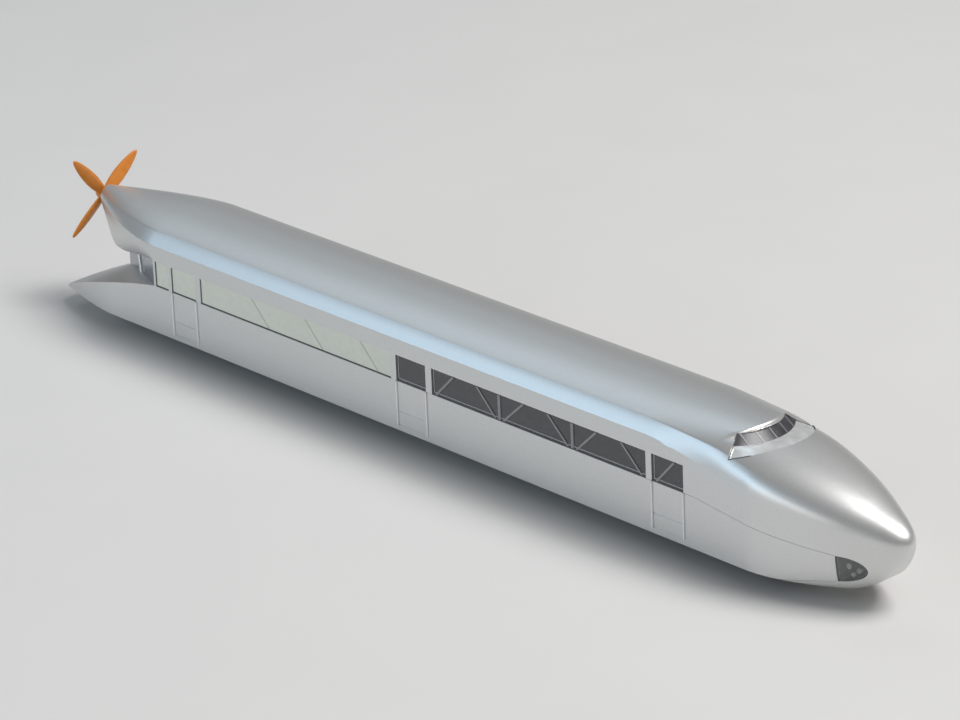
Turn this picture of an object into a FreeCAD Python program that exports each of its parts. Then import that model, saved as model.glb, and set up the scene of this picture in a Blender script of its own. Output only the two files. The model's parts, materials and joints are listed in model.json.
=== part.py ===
"""Streamlined propeller railcar model, built as an assembly of separate pieces.

Frame: +X towards the bullet nose, +Y to the left side, +Z up.
The origin lies on the standing surface, below the middle of the bounding box.
All lengths are in millimetres.
"""
import FreeCAD
import Part
import math
import os

V = FreeCAD.Vector

# ---- driving dimensions: body ----
HALF_WIDTH = 15.2
ROOF_Z = 34.0
WALL_TOP_Z = 28.7
SILL_Z = 17.5
WINDOW_TOP_Z = 24.4
SKIRT_Z = 4.4
SHELL = 1.2
NOSE_X = 148.5
NOSE_TIP_Z = 16.4
NOSE_START_X = 80.0
NOSE_TOP_X = 93.8
NOSE_PLAN_X = 111.5
NOSE_BELLY_X = 134.0
NOSE_BLUNT_X = 141.0
NOSE_BLUNT = 0.13
TAIL_X = -104.0
CONE_END_X = -141.4
BEAK_X = -148.5
BEAK_START_X = -124.0
BEAK_HALF_WIDTH = 10.3
SEAM_DROP_X = 95.0
SEAM_END_X = 134.0
SEAM_END_Z = 13.1
CHIN_X = 120.0

# ---- doors and windows: start and end along X ----
STERN_PANEL = (-103.2, -97.9)
DOORS = [(-96.5, -86.6), (-8.3, 2.6), (81.2, 91.6)]
BLANK_WINDOW = (-84.6, -10.3)
CLEAR_WINDOW = (4.8, 79.3)
PANE_RECESS = 0.3
TRUSS_POSTS = [29.0, 54.4]
TRUSS_BAR = 0.55
HANDRAIL_R = 0.22
HANDRAIL_OUT = 0.24

# ---- windscreen: top arc, foot of the glass, and front edge of its ledge ----
SCREEN_TOP_R, SCREEN_TOP_CX, SCREEN_TOP_Z = 14.7, 89.6, 33.0
SCREEN_FOOT_R, SCREEN_FOOT_CX, SCREEN_FOOT_Z = 14.9, 92.4, 30.9
SCREEN_LOW_R, SCREEN_LOW_CX, SCREEN_LOW_Z = 15.2, 97.8, 30.1
SCREEN_GLASS = 0.8
GLASS_INSET = 0.25
MULLION_R, MULLION_STEP_DEG = 0.16, 15.0
BROW_R = 14.9
BROW_X = 104.5
BROW_STEP = 0.1
SCREEN_SIDE_X, SCREEN_SIDE_Y = 102.0, 7.9
SCREEN_CORNER_X = 105.5

# ---- stern windows: apex of their wedge plan and the leaning post on each side ----
STERN_APEX_X = -134.2
STERN_HALF_WIDTH = 15.15
STERN_GLASS = 1.85
STERN_LOW_Z, STERN_HIGH_Z = 6.0, 28.0
STERN_POST_R = 0.55
STERN_POST_LOW = (-116.2, 8.0)
STERN_POST_HIGH = (-122.9, 27.0)

# ---- headlights ----
LAMP_X, LAMP_TIP_X = 134.0, 140.6
LAMP_LOW_Z, LAMP_HIGH_Z = 6.6, 13.1
LAMP_TIP_Z = 10.1

# ---- wheels, axles, trucks ----
FRONT_AXLE_X = 83.0
REAR_AXLE_X = -73.0
FLANGE_R = 6.95
TREAD_R = 5.75
WHEEL_BACK_Y = 7.2
FLANGE_T = 0.8
WHEEL_OUT_Y = 10.0
AXLE_R = 1.0
AXLE_BUSH_R = 1.5
BEARING_R = 1.6
RUN = 0.05
PLATE_IN_Y = 5.4
PLATE_OUT_Y = 6.8
PIVOT_R = 1.5

# ---- gear train of the motor truck ----
MODULE = 0.4
AXLE_TEETH, IDLER_TEETH, PINION_TEETH = 22, 16, 10
MESH_SLACK = 0.12
GEAR_Y0, GEAR_Y1 = 3.0, 5.0
IDLER_OFFSET_X = 4.5
PINION_OFFSET_X = 1.5
ARMATURE_R = 5.0
CORE_Y0, CORE_Y1 = -2.6, 2.2
MAGNET_IN_R, MAGNET_OUT_R = 5.4, 6.8

# ---- propeller and its motor ----
PROP_R = 14.8
PROP_X = -143.4
PROP_Z = 29.2
PROP_HUB_R = 1.7
PROP_BLADES = 4
PROP_REST_DEG = 39.0
BLADE_PITCH_DEG = 32.0
SHAFT_R = 0.75
MOTOR_R = 3.2
MOTOR_X0, MOTOR_X1 = -114.0, -100.0

# ---- chassis ----
FLOOR_Z0, FLOOR_Z1 = 5.0, 6.2
DECK_Z0, DECK_Z1 = 16.2, 17.4
DECK_HALF_WIDTH = 12.6
FRONT_SCREW_X, REAR_SCREW_X = 118.0, -114.0
SCREW_R, POST_R = 0.9, 2.3


# ---------------------------------------------------------------- helpers
def box(x0, x1, y0, y1, z0, z1):
    """Block between two corners."""
    return Part.makeBox(x1 - x0, y1 - y0, z1 - z0, V(x0, y0, z0))


def cyl_x(x0, x1, r, y=0.0, z=0.0):
    return Part.makeCylinder(r, x1 - x0, V(x0, y, z), V(1, 0, 0))


def cyl_y(y0, y1, r, x=0.0, z=0.0):
    return Part.makeCylinder(r, y1 - y0, V(x, y0, z), V(0, 1, 0))


def cyl_z(z0, z1, r, x=0.0, y=0.0):
    return Part.makeCylinder(r, z1 - z0, V(x, y, z0), V(0, 0, 1))


def tube_y(y0, y1, r_in, r_out, x, z):
    return cyl_y(y0, y1, r_out, x, z).cut(cyl_y(y0, y1, r_in, x, z))


def prism_y(points, y0, y1):
    """Outline of (x, z) points, extruded along Y."""
    loop = [V(x, y0, z) for x, z in points]
    face = Part.Face(Part.makePolygon(loop + [loop[0]]))
    return face.extrude(V(0, y1 - y0, 0))


def prism_z(points, z0, z1):
    """Outline of (x, y) points, extruded along Z."""
    loop = [V(x, y, z0) for x, y in points]
    face = Part.Face(Part.makePolygon(loop + [loop[0]]))
    return face.extrude(V(0, 0, z1 - z0))


def mirror_y(shape):
    """The same piece on the other side of the car."""
    return shape.mirror(V(0, 0, 0), V(0, 1, 0))


def fuse(shapes):
    first = shapes[0]
    if len(shapes) == 1:
        return first
    return first.multiFuse(shapes[1:]).removeSplitter()


def save(name, shape):
    """Write one node, as a single solid or as a group of separate solids."""
    solids = shape.Solids
    out = solids[0] if len(solids) == 1 else Part.makeCompound(solids)
    out.exportStep("parts/" + name + ".step")
    box_ = out.BoundBox
    print(f"{name:26s} solids {len(solids):3d} volume {out.Volume:9.1f} "
          f"x {box_.XMin:7.1f} {box_.XMax:7.1f} y {box_.YMin:6.1f} {box_.YMax:6.1f} "
          f"z {box_.ZMin:5.1f} {box_.ZMax:5.1f} valid {out.isValid()}")


def clamp01(u):
    return min(max(u, 0.0), 1.0)


def mix(a, b, u):
    return a + (b - a) * u


# ---------------------------------------------------------------- outer form
def nose_blunting(x):
    """How much the powers of the nose curves drop towards a round tip."""
    return NOSE_BLUNT * clamp01((x - NOSE_BLUNT_X) / (NOSE_X - NOSE_BLUNT_X))


def nose_half_width(x):
    u = clamp01((x - NOSE_PLAN_X) / (NOSE_X - NOSE_PLAN_X))
    return HALF_WIDTH * (1 - u ** 1.5) ** (0.68 - nose_blunting(x))


def nose_top(x):
    u = clamp01((x - NOSE_TOP_X) / (NOSE_X - NOSE_TOP_X))
    return NOSE_TIP_Z + (ROOF_Z - NOSE_TIP_Z) * (1 - u ** 1.44) ** (0.64 - nose_blunting(x))


def nose_bottom(x):
    u = clamp01((x - NOSE_BELLY_X) / (NOSE_X - NOSE_BELLY_X))
    return NOSE_TIP_Z - (NOSE_TIP_Z - SKIRT_Z) * (1 - u ** 2.0) ** (0.72 - nose_blunting(x))


def section(x, w, y_low, z_low, z_wide, z_top, top_power):
    """Closed cross-section: flat bottom, flank on each side, and a crowned roof."""
    flank = []
    steps = 8
    for i in range(steps + 1):
        t = math.pi / 2 * (1 - i / steps)
        y = y_low + (w - y_low) * math.cos(t)
        z = z_wide - (z_wide - z_low) * math.sin(t)
        flank.append(V(x, y, z))
    roof = []
    steps = 20
    for i in range(steps + 1):
        t = math.pi * i / steps
        c = math.cos(t)
        y = w * math.copysign(abs(c) ** (2 / top_power), c)
        z = z_wide + (z_top - z_wide) * abs(math.sin(t)) ** (2 / top_power)
        roof.append(V(x, y, z))
    right = [V(x, -p.y, p.z) for p in flank]
    edges = []
    for pts in (flank, roof, list(reversed(right))):
        curve = Part.BSplineCurve()
        curve.interpolate(pts)
        edges.append(curve.toShape())
    edges.append(Part.makeLine(right[0], flank[0]))
    return Part.Wire(edges)


def nose_section(x, inset=0.0, brow=False):
    u = clamp01((x - NOSE_START_X) / (NOSE_X - NOSE_START_X))
    w = nose_half_width(x) - inset
    round_low = clamp01((x - NOSE_PLAN_X) / (NOSE_X - NOSE_PLAN_X))
    y_low = w * (1 - 0.93 * round_low ** 2.6)
    z_top = (ROOF_Z if brow else nose_top(x)) - inset
    z_low = nose_bottom(x) + inset
    z_wide = mix(WALL_TOP_Z, NOSE_TIP_Z, u ** 1.1)
    z_wide = min(z_wide, nose_top(x) - inset - 0.4)
    return section(x, w, y_low, z_low, z_wide, z_top, mix(2.4, 2.1, u))


def loft(wires):
    """Solid through a row of cross-sections, straight from one to the next."""
    return Part.makeLoft(wires, True, True)


def stations(x0, x1, count, ease=1.0):
    """Places along X, closer together towards x1 when ease is above one."""
    return [x1 + (x0 - x1) * (1 - i / count) ** ease for i in range(count + 1)]


def straight_body(inset, z_low):
    """Constant part of the car between the tail and the nose."""
    wire = section(TAIL_X, HALF_WIDTH - inset, HALF_WIDTH - inset, z_low,
                   WALL_TOP_Z, ROOF_Z - inset, 2.4)
    return Part.Face(wire).extrude(V(NOSE_START_X - TAIL_X, 0, 0))


def nose_outer():
    return nose_loft(0.0, NOSE_X - 0.03, 22)


def nose_inner():
    return nose_loft(SHELL, 145.5, 14)


def nose_loft(inset, x_end, count):
    """Nose whose roof runs on level over the windscreen and ends in a brow."""
    brow = BROW_X - inset
    rows = [nose_section(x, inset, True) for x in stations(NOSE_START_X, brow, 6)]
    rows += [nose_section(x, inset) for x in stations(brow + BROW_STEP, x_end, count, 1.6)]
    return loft(rows)


def cone_section(x, inset=0.0):
    """Upper tail: narrows towards the propeller hub and lifts off the deck."""
    u = (TAIL_X - x) / (TAIL_X - CONE_END_X)
    w = 2.9 + (HALF_WIDTH - 2.9) * (1 - u ** 1.25)
    z_top = mix(ROOF_Z, 32.2, u ** 2)
    z_wide = mix(WALL_TOP_Z, PROP_Z, u)
    if x > -135.3:
        s = (TAIL_X - x) / (135.3 + TAIL_X)
        z_low = mix(WINDOW_TOP_Z, 15.2, s ** 1.15)
        y_low = mix(HALF_WIDTH, 0.5, s ** 0.93)
    else:
        s = (-135.3 - x) / (-135.3 - CONE_END_X)
        z_low = mix(15.2, 26.2, s)
        y_low = mix(0.5, 1.0, s)
    y_low = max(min(y_low, w) - inset, 0.3)
    return section(x, w - inset, y_low, z_low + inset, z_wide, z_top - inset,
                   mix(2.4, 2.0, u))


def cone_outer():
    back = stations(TAIL_X, -135.3, 12) + [-137.0, -138.4, -139.9, CONE_END_X]
    return loft([cone_section(x) for x in back])


def cone_inner():
    return loft([cone_section(x, SHELL) for x in stations(TAIL_X, -129.0, 9)])


def beak_half_width(x):
    u = clamp01((BEAK_START_X - x) / (BEAK_START_X - BEAK_X))
    return HALF_WIDTH - (HALF_WIDTH - BEAK_HALF_WIDTH) * u ** 1.4


def beak_section(x, inset=0.0):
    """Lower tail: a broad bill whose deck slopes down to a thin rear edge."""
    u = (TAIL_X - x) / (TAIL_X - BEAK_X)
    w = beak_half_width(x) - inset
    z_edge = mix(SILL_Z, SKIRT_Z + 0.7, 0.62 * u + 0.38 * u ** 2.2) - inset
    crown = mix(0.4, 1.5, math.sin(math.pi * min(u * 1.15, 1.0)))
    edges = []
    deck = [V(x, w * c, z_edge + crown * (1 - c * c)) for c in
            (1.0, 0.8, 0.55, 0.28, 0.0, -0.28, -0.55, -0.8, -1.0)]
    curve = Part.BSplineCurve()
    curve.interpolate(deck)
    edges.append(Part.makeLine(V(x, w, SKIRT_Z), deck[0]))
    edges.append(curve.toShape())
    edges.append(Part.makeLine(deck[-1], V(x, -w, SKIRT_Z)))
    edges.append(Part.makeLine(V(x, -w, SKIRT_Z), V(x, w, SKIRT_Z)))
    return Part.Wire(edges)


def beak_outer():
    return loft([beak_section(x) for x in stations(TAIL_X, BEAK_X, 16)])


# ---------------------------------------------------------------- body shells
def seam_region():
    """Everything below the seam line, back from the headlights and above the chin."""
    outline = [(-160, SILL_Z), (SEAM_DROP_X, SILL_Z), (SEAM_END_X, SEAM_END_Z),
               (SEAM_END_X, LAMP_LOW_Z), (CHIN_X, SKIRT_Z), (CHIN_X, -5), (-160, -5)]
    return prism_y(outline, -20, 20)


def window_cutters():
    """Openings of all door windows and long windows, through both walls."""
    spans = DOORS + [STERN_PANEL, BLANK_WINDOW, CLEAR_WINDOW]
    return [box(x0, x1, -20, 20, SILL_Z, WINDOW_TOP_Z) for x0, x1 in spans]


def screen_turret(offset=0.0):
    """Space inside the windscreen's outer face: a low ledge, then the leaning glass."""
    rings = []
    for r, cx, z in ((SCREEN_LOW_R, SCREEN_LOW_CX, SCREEN_LOW_Z - offset),
                     (SCREEN_FOOT_R, SCREEN_FOOT_CX, SCREEN_FOOT_Z - offset / 2),
                     (SCREEN_TOP_R, SCREEN_TOP_CX, SCREEN_TOP_Z)):
        circle = Part.Circle(V(cx, 0, z), V(0, 0, 1), r - offset)
        rings.append(Part.Wire([circle.toShape()]))
    return Part.makeLoft(rings, True, True)


def screen_pocket():
    """Space of the windscreen between the brow and the hood."""
    plan = [(SCREEN_SIDE_X, -SCREEN_SIDE_Y), (SCREEN_CORNER_X, -15.5), (120, -15.5),
            (120, 15.5), (SCREEN_CORNER_X, 15.5), (SCREEN_SIDE_X, SCREEN_SIDE_Y)]
    region = prism_z(plan, SCREEN_LOW_Z, 36.0)
    disc = cyl_z(SCREEN_LOW_Z, 36.0, SCREEN_LOW_R, SCREEN_LOW_CX)
    return region.common(disc)


def lamp_outline():
    """D-shaped headlight as a prism across the nose."""
    steps = 12
    half = (LAMP_HIGH_Z - LAMP_LOW_Z) / 2
    mid = (LAMP_HIGH_Z + LAMP_LOW_Z) / 2
    points = []
    for i in range(steps + 1):
        t = math.pi * (0.5 - i / steps)
        x = LAMP_X + (LAMP_TIP_X - LAMP_X) * math.cos(t)
        z = mid + half * math.sin(t) - (mid - LAMP_TIP_Z) * math.cos(t)
        points.append((x, z))
    return prism_y(points, -20, 20)


def door_grooves():
    """Engraved step line and foot line of each door, on both sides."""
    cuts = []
    for x0, x1 in DOORS:
        for z in (9.6, SKIRT_Z + 1.6):
            for side in (-1, 1):
                y = side * HALF_WIDTH
                cuts.append(box(x0, x1, y - 0.2, y + 0.2, z - 0.12, z + 0.12))
    return cuts


def build_shells():
    outer = fuse([straight_body(0.0, SKIRT_Z), nose_outer(), cone_outer(), beak_outer()])
    cavity_mid = straight_body(SHELL, -1.0)
    cavity_nose = nose_inner()
    inner_y = HALF_WIDTH - SHELL
    open_bottom = prism_z([(NOSE_START_X, inner_y), (106.0, inner_y), (122.5, 12.2),
                           (122.5, -12.2), (106.0, -inner_y), (NOSE_START_X, -inner_y)],
                          -1.0, 12.0)
    rear_well = box(-128.0, TAIL_X, -12.4, 12.4, -1.0, 9.0)
    hollow = outer
    for cutter in (cavity_mid, cavity_nose, cone_inner(), open_bottom, rear_well):
        hollow = hollow.cut(cutter)
    bore = cyl_x(CONE_END_X - 1, -126.0, 1.5, 0.0, PROP_Z)
    bracket_gap = box(-116.0, TAIL_X, -4.2, 4.2, 18.0, 28.0)
    hollow = hollow.cut(bore).cut(bracket_gap)
    lower = hollow.common(seam_region())
    upper = hollow.cut(seam_region())
    upper = upper.multiFuse([screw_post().common(outer)])
    glass_back_r = SCREEN_TOP_R - GLASS_INSET - SCREEN_GLASS - 0.05
    roof_end = cyl_z(0, SCREEN_TOP_Z, glass_back_r, SCREEN_TOP_CX)
    roof_end = roof_end.fuse(cyl_z(SCREEN_TOP_Z + 0.05, 40, BROW_R, SCREEN_TOP_CX))
    upper = upper.cut(screen_pocket().cut(roof_end))
    for cutter in window_cutters():
        upper = upper.cut(cutter)
    upper = upper.cut(lamp_outline()).cut(nose_hatch(outer))
    lower = lower.multiFuse([rear_screw_block().common(outer)])
    lower = lower.cut(Part.makeCompound(door_grooves())).cut(nose_hatch(outer))
    lower = lower.cut(cyl_z(FLOOR_Z1 - 1, 11.0, SCREW_R + RUN, REAR_SCREW_X))
    return outer, upper, lower


def screw_post():
    """Post in the nose that takes the front body screw."""
    post = cyl_z(FLOOR_Z1, 30.0, POST_R, FRONT_SCREW_X)
    return post.cut(cyl_z(FLOOR_Z1 - 1, 14.0, SCREW_R + RUN, FRONT_SCREW_X))


def rear_screw_block():
    """Boss in the bill that takes the rear body screw."""
    return cyl_z(FLOOR_Z1, 13.0, POST_R, REAR_SCREW_X)


def biggest(shape):
    return max(shape.Solids, key=lambda s: s.Volume)


# ---------------------------------------------------------------- glazing and trim
def wall_strip(spans, x0, x1):
    """Moulding behind the left wall, with raised panes that fill the openings."""
    inner = HALF_WIDTH - SHELL
    parts = [box(x0, x1, inner - 0.8, inner, SILL_Z - 0.9, WINDOW_TOP_Z + 0.9)]
    for a, b in spans:
        parts.append(box(a, b, inner - 0.1, HALF_WIDTH - PANE_RECESS, SILL_Z, WINDOW_TOP_Z))
    return fuse(parts)


def bar_between(xa, za, xb, zb, width, y0, y1):
    """Flat bar in the window plane from one point to another."""
    dx, dz = xb - xa, zb - za
    length = math.hypot(dx, dz)
    nx, nz = -dz / length * width / 2, dx / length * width / 2
    points = [(xa + nx, za + nz), (xb + nx, zb + nz), (xb - nx, zb - nz), (xa - nx, za - nz)]
    return prism_y(points, y0, y1)


def window_truss():
    """Posts and diagonals of the body frame that show in the long clear window."""
    y0 = HALF_WIDTH - PANE_RECESS
    y1 = y0 + 0.2
    x0, x1 = CLEAR_WINDOW
    edge = 0.3
    low, high = SILL_Z + edge, WINDOW_TOP_Z - edge
    bays = [x0] + TRUSS_POSTS + [x1]
    bars = [box(x - 0.45, x + 0.45, y0, y1, low, high) for x in TRUSS_POSTS]
    for a, b in zip(bays[:-1], bays[1:]):
        mid = (a + b) / 2
        bars.append(bar_between(a + 1.4, low, mid - 4.2, high, TRUSS_BAR, y0, y1))
        bars.append(bar_between(mid + 4.2, high, b - 1.4, low, TRUSS_BAR, y0, y1))
    a, b = DOORS[2]
    bars.append(bar_between(a + 1.5, low, b - 3.0, high, TRUSS_BAR, y0, y1))
    keep = box(-200, 200, 0, 20, low, high)
    return Part.makeCompound([bar.common(keep) for bar in bars])


def door_handrails():
    """Round grab rails beside each door, standing on two feet each."""
    rails = []
    for x0, x1 in DOORS:
        for x in (x0, x1):
            for side in (-1, 1):
                y = side * (HALF_WIDTH + HANDRAIL_OUT)
                rail = cyl_z(6.4, 16.6, HANDRAIL_R, x, y)
                for z in (6.9, 16.1):
                    y_a, y_b = sorted((side * HALF_WIDTH, y))
                    rail = rail.fuse(cyl_y(y_a, y_b, 0.2, x, z))
                rails.append(rail)
    return Part.makeCompound(rails)


def windscreen_parts():
    """Curved glass of the cab, and its mullions."""
    pocket = screen_pocket()
    glass = screen_turret(GLASS_INSET).cut(screen_turret(GLASS_INSET + SCREEN_GLASS))
    glass = glass.common(pocket)
    bars = []
    for k in range(-3, 4):
        rad = math.radians(MULLION_STEP_DEG * k)
        low = V(SCREEN_FOOT_CX + SCREEN_FOOT_R * math.cos(rad), SCREEN_FOOT_R * math.sin(rad),
                SCREEN_FOOT_Z)
        top = V(SCREEN_TOP_CX + SCREEN_TOP_R * math.cos(rad), SCREEN_TOP_R * math.sin(rad),
                SCREEN_TOP_Z)
        bars.append(Part.makeCylinder(MULLION_R, (top - low).Length, low, top - low))
    skin = screen_turret(0.0).cut(screen_turret(GLASS_INSET))
    bars = [bar.common(skin).common(pocket) for bar in bars]
    return biggest(glass), Part.makeCompound([s for b in bars for s in b.Solids])


def headlight(outer):
    """Clear D-shaped lens that follows the side of the nose."""
    slab = lamp_outline().common(outer).cut(nose_inner())
    left = slab.common(box(120, 150, 0.5, 20, 0, 30))
    return biggest(left)


def stern_side(x):
    """Half width of the stern windows' wedge plan at x."""
    return STERN_HALF_WIDTH * (x - STERN_APEX_X) / (TAIL_X - STERN_APEX_X)


def stern_post(side):
    """Leaning round post on one wall of the stern windows."""
    low_x, low_z = STERN_POST_LOW
    high_x, high_z = STERN_POST_HIGH
    low = V(low_x, side * (stern_side(low_x) + 0.1), low_z)
    high = V(high_x, side * (stern_side(high_x) + 0.1), high_z)
    return Part.makeCylinder(STERN_POST_R, (high - low).Length, low, high - low)


def stern_parts(outer):
    """Wedge-shaped rear windows between the deck and the upper cone, with posts."""
    plan = [(TAIL_X, -STERN_HALF_WIDTH), (STERN_APEX_X, 0.0), (TAIL_X, STERN_HALF_WIDTH)]
    full = prism_z(plan, STERN_LOW_Z, STERN_HIGH_Z)
    inner_half = STERN_HALF_WIDTH - STERN_GLASS
    inner_plan = [(TAIL_X, -inner_half), (STERN_APEX_X + 2 * STERN_GLASS, 0.0),
                  (TAIL_X, inner_half)]
    shell = full.cut(prism_z(inner_plan, STERN_LOW_Z - 1.0, STERN_HIGH_Z + 1.0))
    glass = biggest(shell.cut(outer))
    posts = [stern_post(side).cut(outer).cut(full) for side in (-1, 1)]
    return glass, Part.makeCompound([s for p in posts for s in p.Solids if s.Volume > 0.2])


# ---------------------------------------------------------------- chassis
def floor_plate():
    plate = box(-126.0, 122.0, -12.1, 12.1, FLOOR_Z0, FLOOR_Z1)
    plate = plate.fuse(box(TAIL_X, 105.5, -13.9, 13.9, FLOOR_Z0, FLOOR_Z1))
    wells = [box(REAR_AXLE_X - 13, REAR_AXLE_X + 19, -12.0, 12.0, 0, 10),
             box(FRONT_AXLE_X - 11, FRONT_AXLE_X + 11, -12.0, 12.0, 0, 10)]
    for well in wells:
        plate = plate.cut(well)
    for x in (FRONT_SCREW_X, REAR_SCREW_X):
        plate = plate.cut(cyl_z(0, 10, SCREW_R + 0.25, x))
    return plate


def chassis_frame():
    """Deck over the trucks, on four legs that stand on the floor plate."""
    deck = box(-94.0, 104.0, -DECK_HALF_WIDTH, DECK_HALF_WIDTH, DECK_Z0, DECK_Z1)
    deck = deck.cut(box(REAR_AXLE_X - 14, REAR_AXLE_X + 20, -10.5, 10.5, 0, 40))
    deck = deck.cut(cyl_z(0, 40, PIVOT_R, FRONT_AXLE_X))
    legs = [box(x, x + 4, -DECK_HALF_WIDTH, DECK_HALF_WIDTH, FLOOR_Z1, DECK_Z0)
            for x in (-93.0, -50.0, 66.0, 98.0)]
    return fuse([deck] + legs)


def motor_bridge():
    """Arch over the motor truck that carries its pivot."""
    top = box(REAR_AXLE_X - 17, REAR_AXLE_X + 23, -6.0, 6.0, 27.6, 29.0)
    feet = [box(REAR_AXLE_X - 17, REAR_AXLE_X - 15.2, -6.0, 6.0, DECK_Z1, 27.6),
            box(REAR_AXLE_X + 21.2, REAR_AXLE_X + 23, -6.0, 6.0, DECK_Z1, 27.6)]
    bridge = fuse([top] + feet)
    return bridge.cut(cyl_z(20, 40, PIVOT_R, REAR_AXLE_X))


def ballast():
    block = box(-44.0, 60.0, -9.5, 9.5, FLOOR_Z1, 14.6)
    return block.makeChamfer(0.8, [e for e in block.Edges if abs(e.BoundBox.ZMin - 14.6) < 0.01])


def passenger_seats():
    """Saloon floor with rows of benches, seen through the clear windows."""
    parts = [box(-8.0, 100.0, -12.4, 12.4, DECK_Z1, DECK_Z1 + 0.8)]
    base = DECK_Z1 + 0.8
    for i in range(10):
        x = 6.5 + 8.6 * i
        for side in (-1, 1):
            y0, y1 = sorted((side * 3.4, side * 11.6))
            parts.append(box(x, x + 3.6, y0, y1, base - 0.1, base + 2.2))
            parts.append(box(x, x + 0.9, y0, y1, base, base + 5.0))
    return fuse(parts)


def screws():
    out = []
    for x, top in ((FRONT_SCREW_X, 13.6), (REAR_SCREW_X, 10.6)):
        head = cyl_z(FLOOR_Z0 - 0.6, FLOOR_Z0, 1.9, x)
        head = head.cut(box(x - 2, x + 2, -0.25, 0.25, FLOOR_Z0 - 0.7, FLOOR_Z0 - 0.3))
        out.append(head.fuse(cyl_z(FLOOR_Z0, top, SCREW_R, x)))
    return Part.makeCompound(out)


def lighting():
    """Circuit board under the roof, with lamps and the light guide to the nose."""
    board = box(-46.0, 92.0, -5.0, 5.0, 30.4, 31.2)
    lamps = []
    for x in (-30.0, 12.0, 42.0, 72.0):
        lamps.append(box(x - 1.0, x + 1.0, -0.8, 0.8, 29.6, 30.4))
    lamps.append(box(90.0, 92.0, -1.5, 1.5, 28.8, 30.4))
    return board, Part.makeCompound(lamps)


def light_guide():
    """Clear bar from the board's front lamp down to both headlights."""
    path = [(92.4, 30.2), (92.4, 28.6), (127.0, 12.8), (131.0, 12.8), (131.0, 10.0),
            (126.0, 10.0), (91.0, 26.4), (90.5, 28.2)]
    stem = prism_y(path, 3.0, 5.0).fuse(prism_y(path, -5.0, -3.0))
    cross = box(127.0, 131.0, -7.6, 7.6, 10.2, 12.6)
    return fuse([stem, cross]).cut(cyl_z(0, 40, POST_R + 0.3, FRONT_SCREW_X))


def nose_hatch(outer):
    """Dark hatch under the chin, with two guard stubs."""
    slab = cyl_z(-1, 12.0, 3.4, 135.0).common(outer)
    slab = slab.common(prism_y([(128, 0), (145, 0), (145, 7.3), (128, 5.1)], -5, 5))
    return slab


# ---------------------------------------------------------------- wheels
def wheel(side):
    """Turned wheel: tread, flange and a dished outer face."""
    back, out = side * WHEEL_BACK_Y, side * WHEEL_OUT_Y
    step = side * (WHEEL_BACK_Y + FLANGE_T)
    profile = [V(AXLE_BUSH_R, back, 0), V(FLANGE_R - 0.3, back, 0),
               V(FLANGE_R, back + side * 0.3, 0), V(FLANGE_R - 0.25, step - side * 0.1, 0),
               V(TREAD_R + 0.15, step + side * 0.1, 0), V(TREAD_R, out, 0),
               V(TREAD_R - 0.9, out, 0), V(TREAD_R - 1.1, out - side * 0.7, 0),
               V(2.6, out - side * 0.7, 0), V(2.4, out, 0), V(AXLE_BUSH_R, out, 0)]
    face = Part.Face(Part.makePolygon(profile + [profile[0]]))
    return face.revolve(V(0, 0, 0), V(0, 1, 0), 360)


def place_wheel(side, x, groove=False):
    shape = wheel(side)
    if groove:
        y0, y1 = sorted((side * 8.6, side * 9.5))
        shape = shape.cut(tube_y(y0, y1, TREAD_R - 0.4, TREAD_R + 1, 0, 0))
    shape.translate(V(x, 0, FLANGE_R))
    return shape


def traction_tyres(x):
    rings = []
    for side in (-1, 1):
        y0, y1 = sorted((side * 8.6, side * 9.5))
        rings.append(tube_y(y0, y1, TREAD_R - 0.4, TREAD_R + 0.03, x, FLANGE_R))
    return Part.makeCompound(rings)


def axle(x):
    return cyl_y(-WHEEL_OUT_Y, WHEEL_OUT_Y, AXLE_R, x, FLANGE_R)


def wheel_bushes(x):
    return Part.makeCompound([
        tube_y(WHEEL_BACK_Y, WHEEL_OUT_Y, AXLE_R, AXLE_BUSH_R, x, FLANGE_R),
        tube_y(-WHEEL_OUT_Y, -WHEEL_BACK_Y, AXLE_R, AXLE_BUSH_R, x, FLANGE_R)])


def axle_bearings(x):
    return Part.makeCompound([
        tube_y(PLATE_IN_Y, PLATE_OUT_Y, AXLE_R + RUN, BEARING_R, x, FLANGE_R),
        tube_y(-PLATE_OUT_Y, -PLATE_IN_Y, AXLE_R + RUN, BEARING_R, x, FLANGE_R)])


def front_truck_frame():
    """Yoke over the front axle that swivels on a pin in the deck."""
    x = FRONT_AXLE_X
    sides = [box(x - 6, x + 6, y0, y1, 4.2, 14.4)
             for y0, y1 in ((PLATE_IN_Y, PLATE_OUT_Y), (-PLATE_OUT_Y, -PLATE_IN_Y))]
    top = box(x - 6, x + 6, -PLATE_OUT_Y, PLATE_OUT_Y, 14.2, 15.9)
    frame = fuse(sides + [top])
    frame = frame.cut(cyl_y(-20, 20, BEARING_R, x, FLANGE_R))
    return frame.cut(cyl_z(10, 20, PIVOT_R + RUN, x))


def pivot_pin(x, z0, z1):
    """Headed pin, fixed in the body, on which a truck swivels."""
    return cyl_z(z0, z1, PIVOT_R, x).fuse(cyl_z(z0 - 0.8, z0, 2.6, x))


def pickup_springs():
    """Thin current pick-up blades beside the front wheels."""
    x = FRONT_AXLE_X
    out = []
    for side in (-1, 1):
        y0, y1 = sorted((side * PLATE_OUT_Y, side * (PLATE_OUT_Y + 0.2)))
        blade = box(x - 5.5, x - 3.5, y0, y1, 6.0, 13.0)
        out.append(blade.fuse(box(x - 3.6, x + 3.5, y0, y1, 11.4, 13.0)))
    return Part.makeCompound(out)


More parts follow.
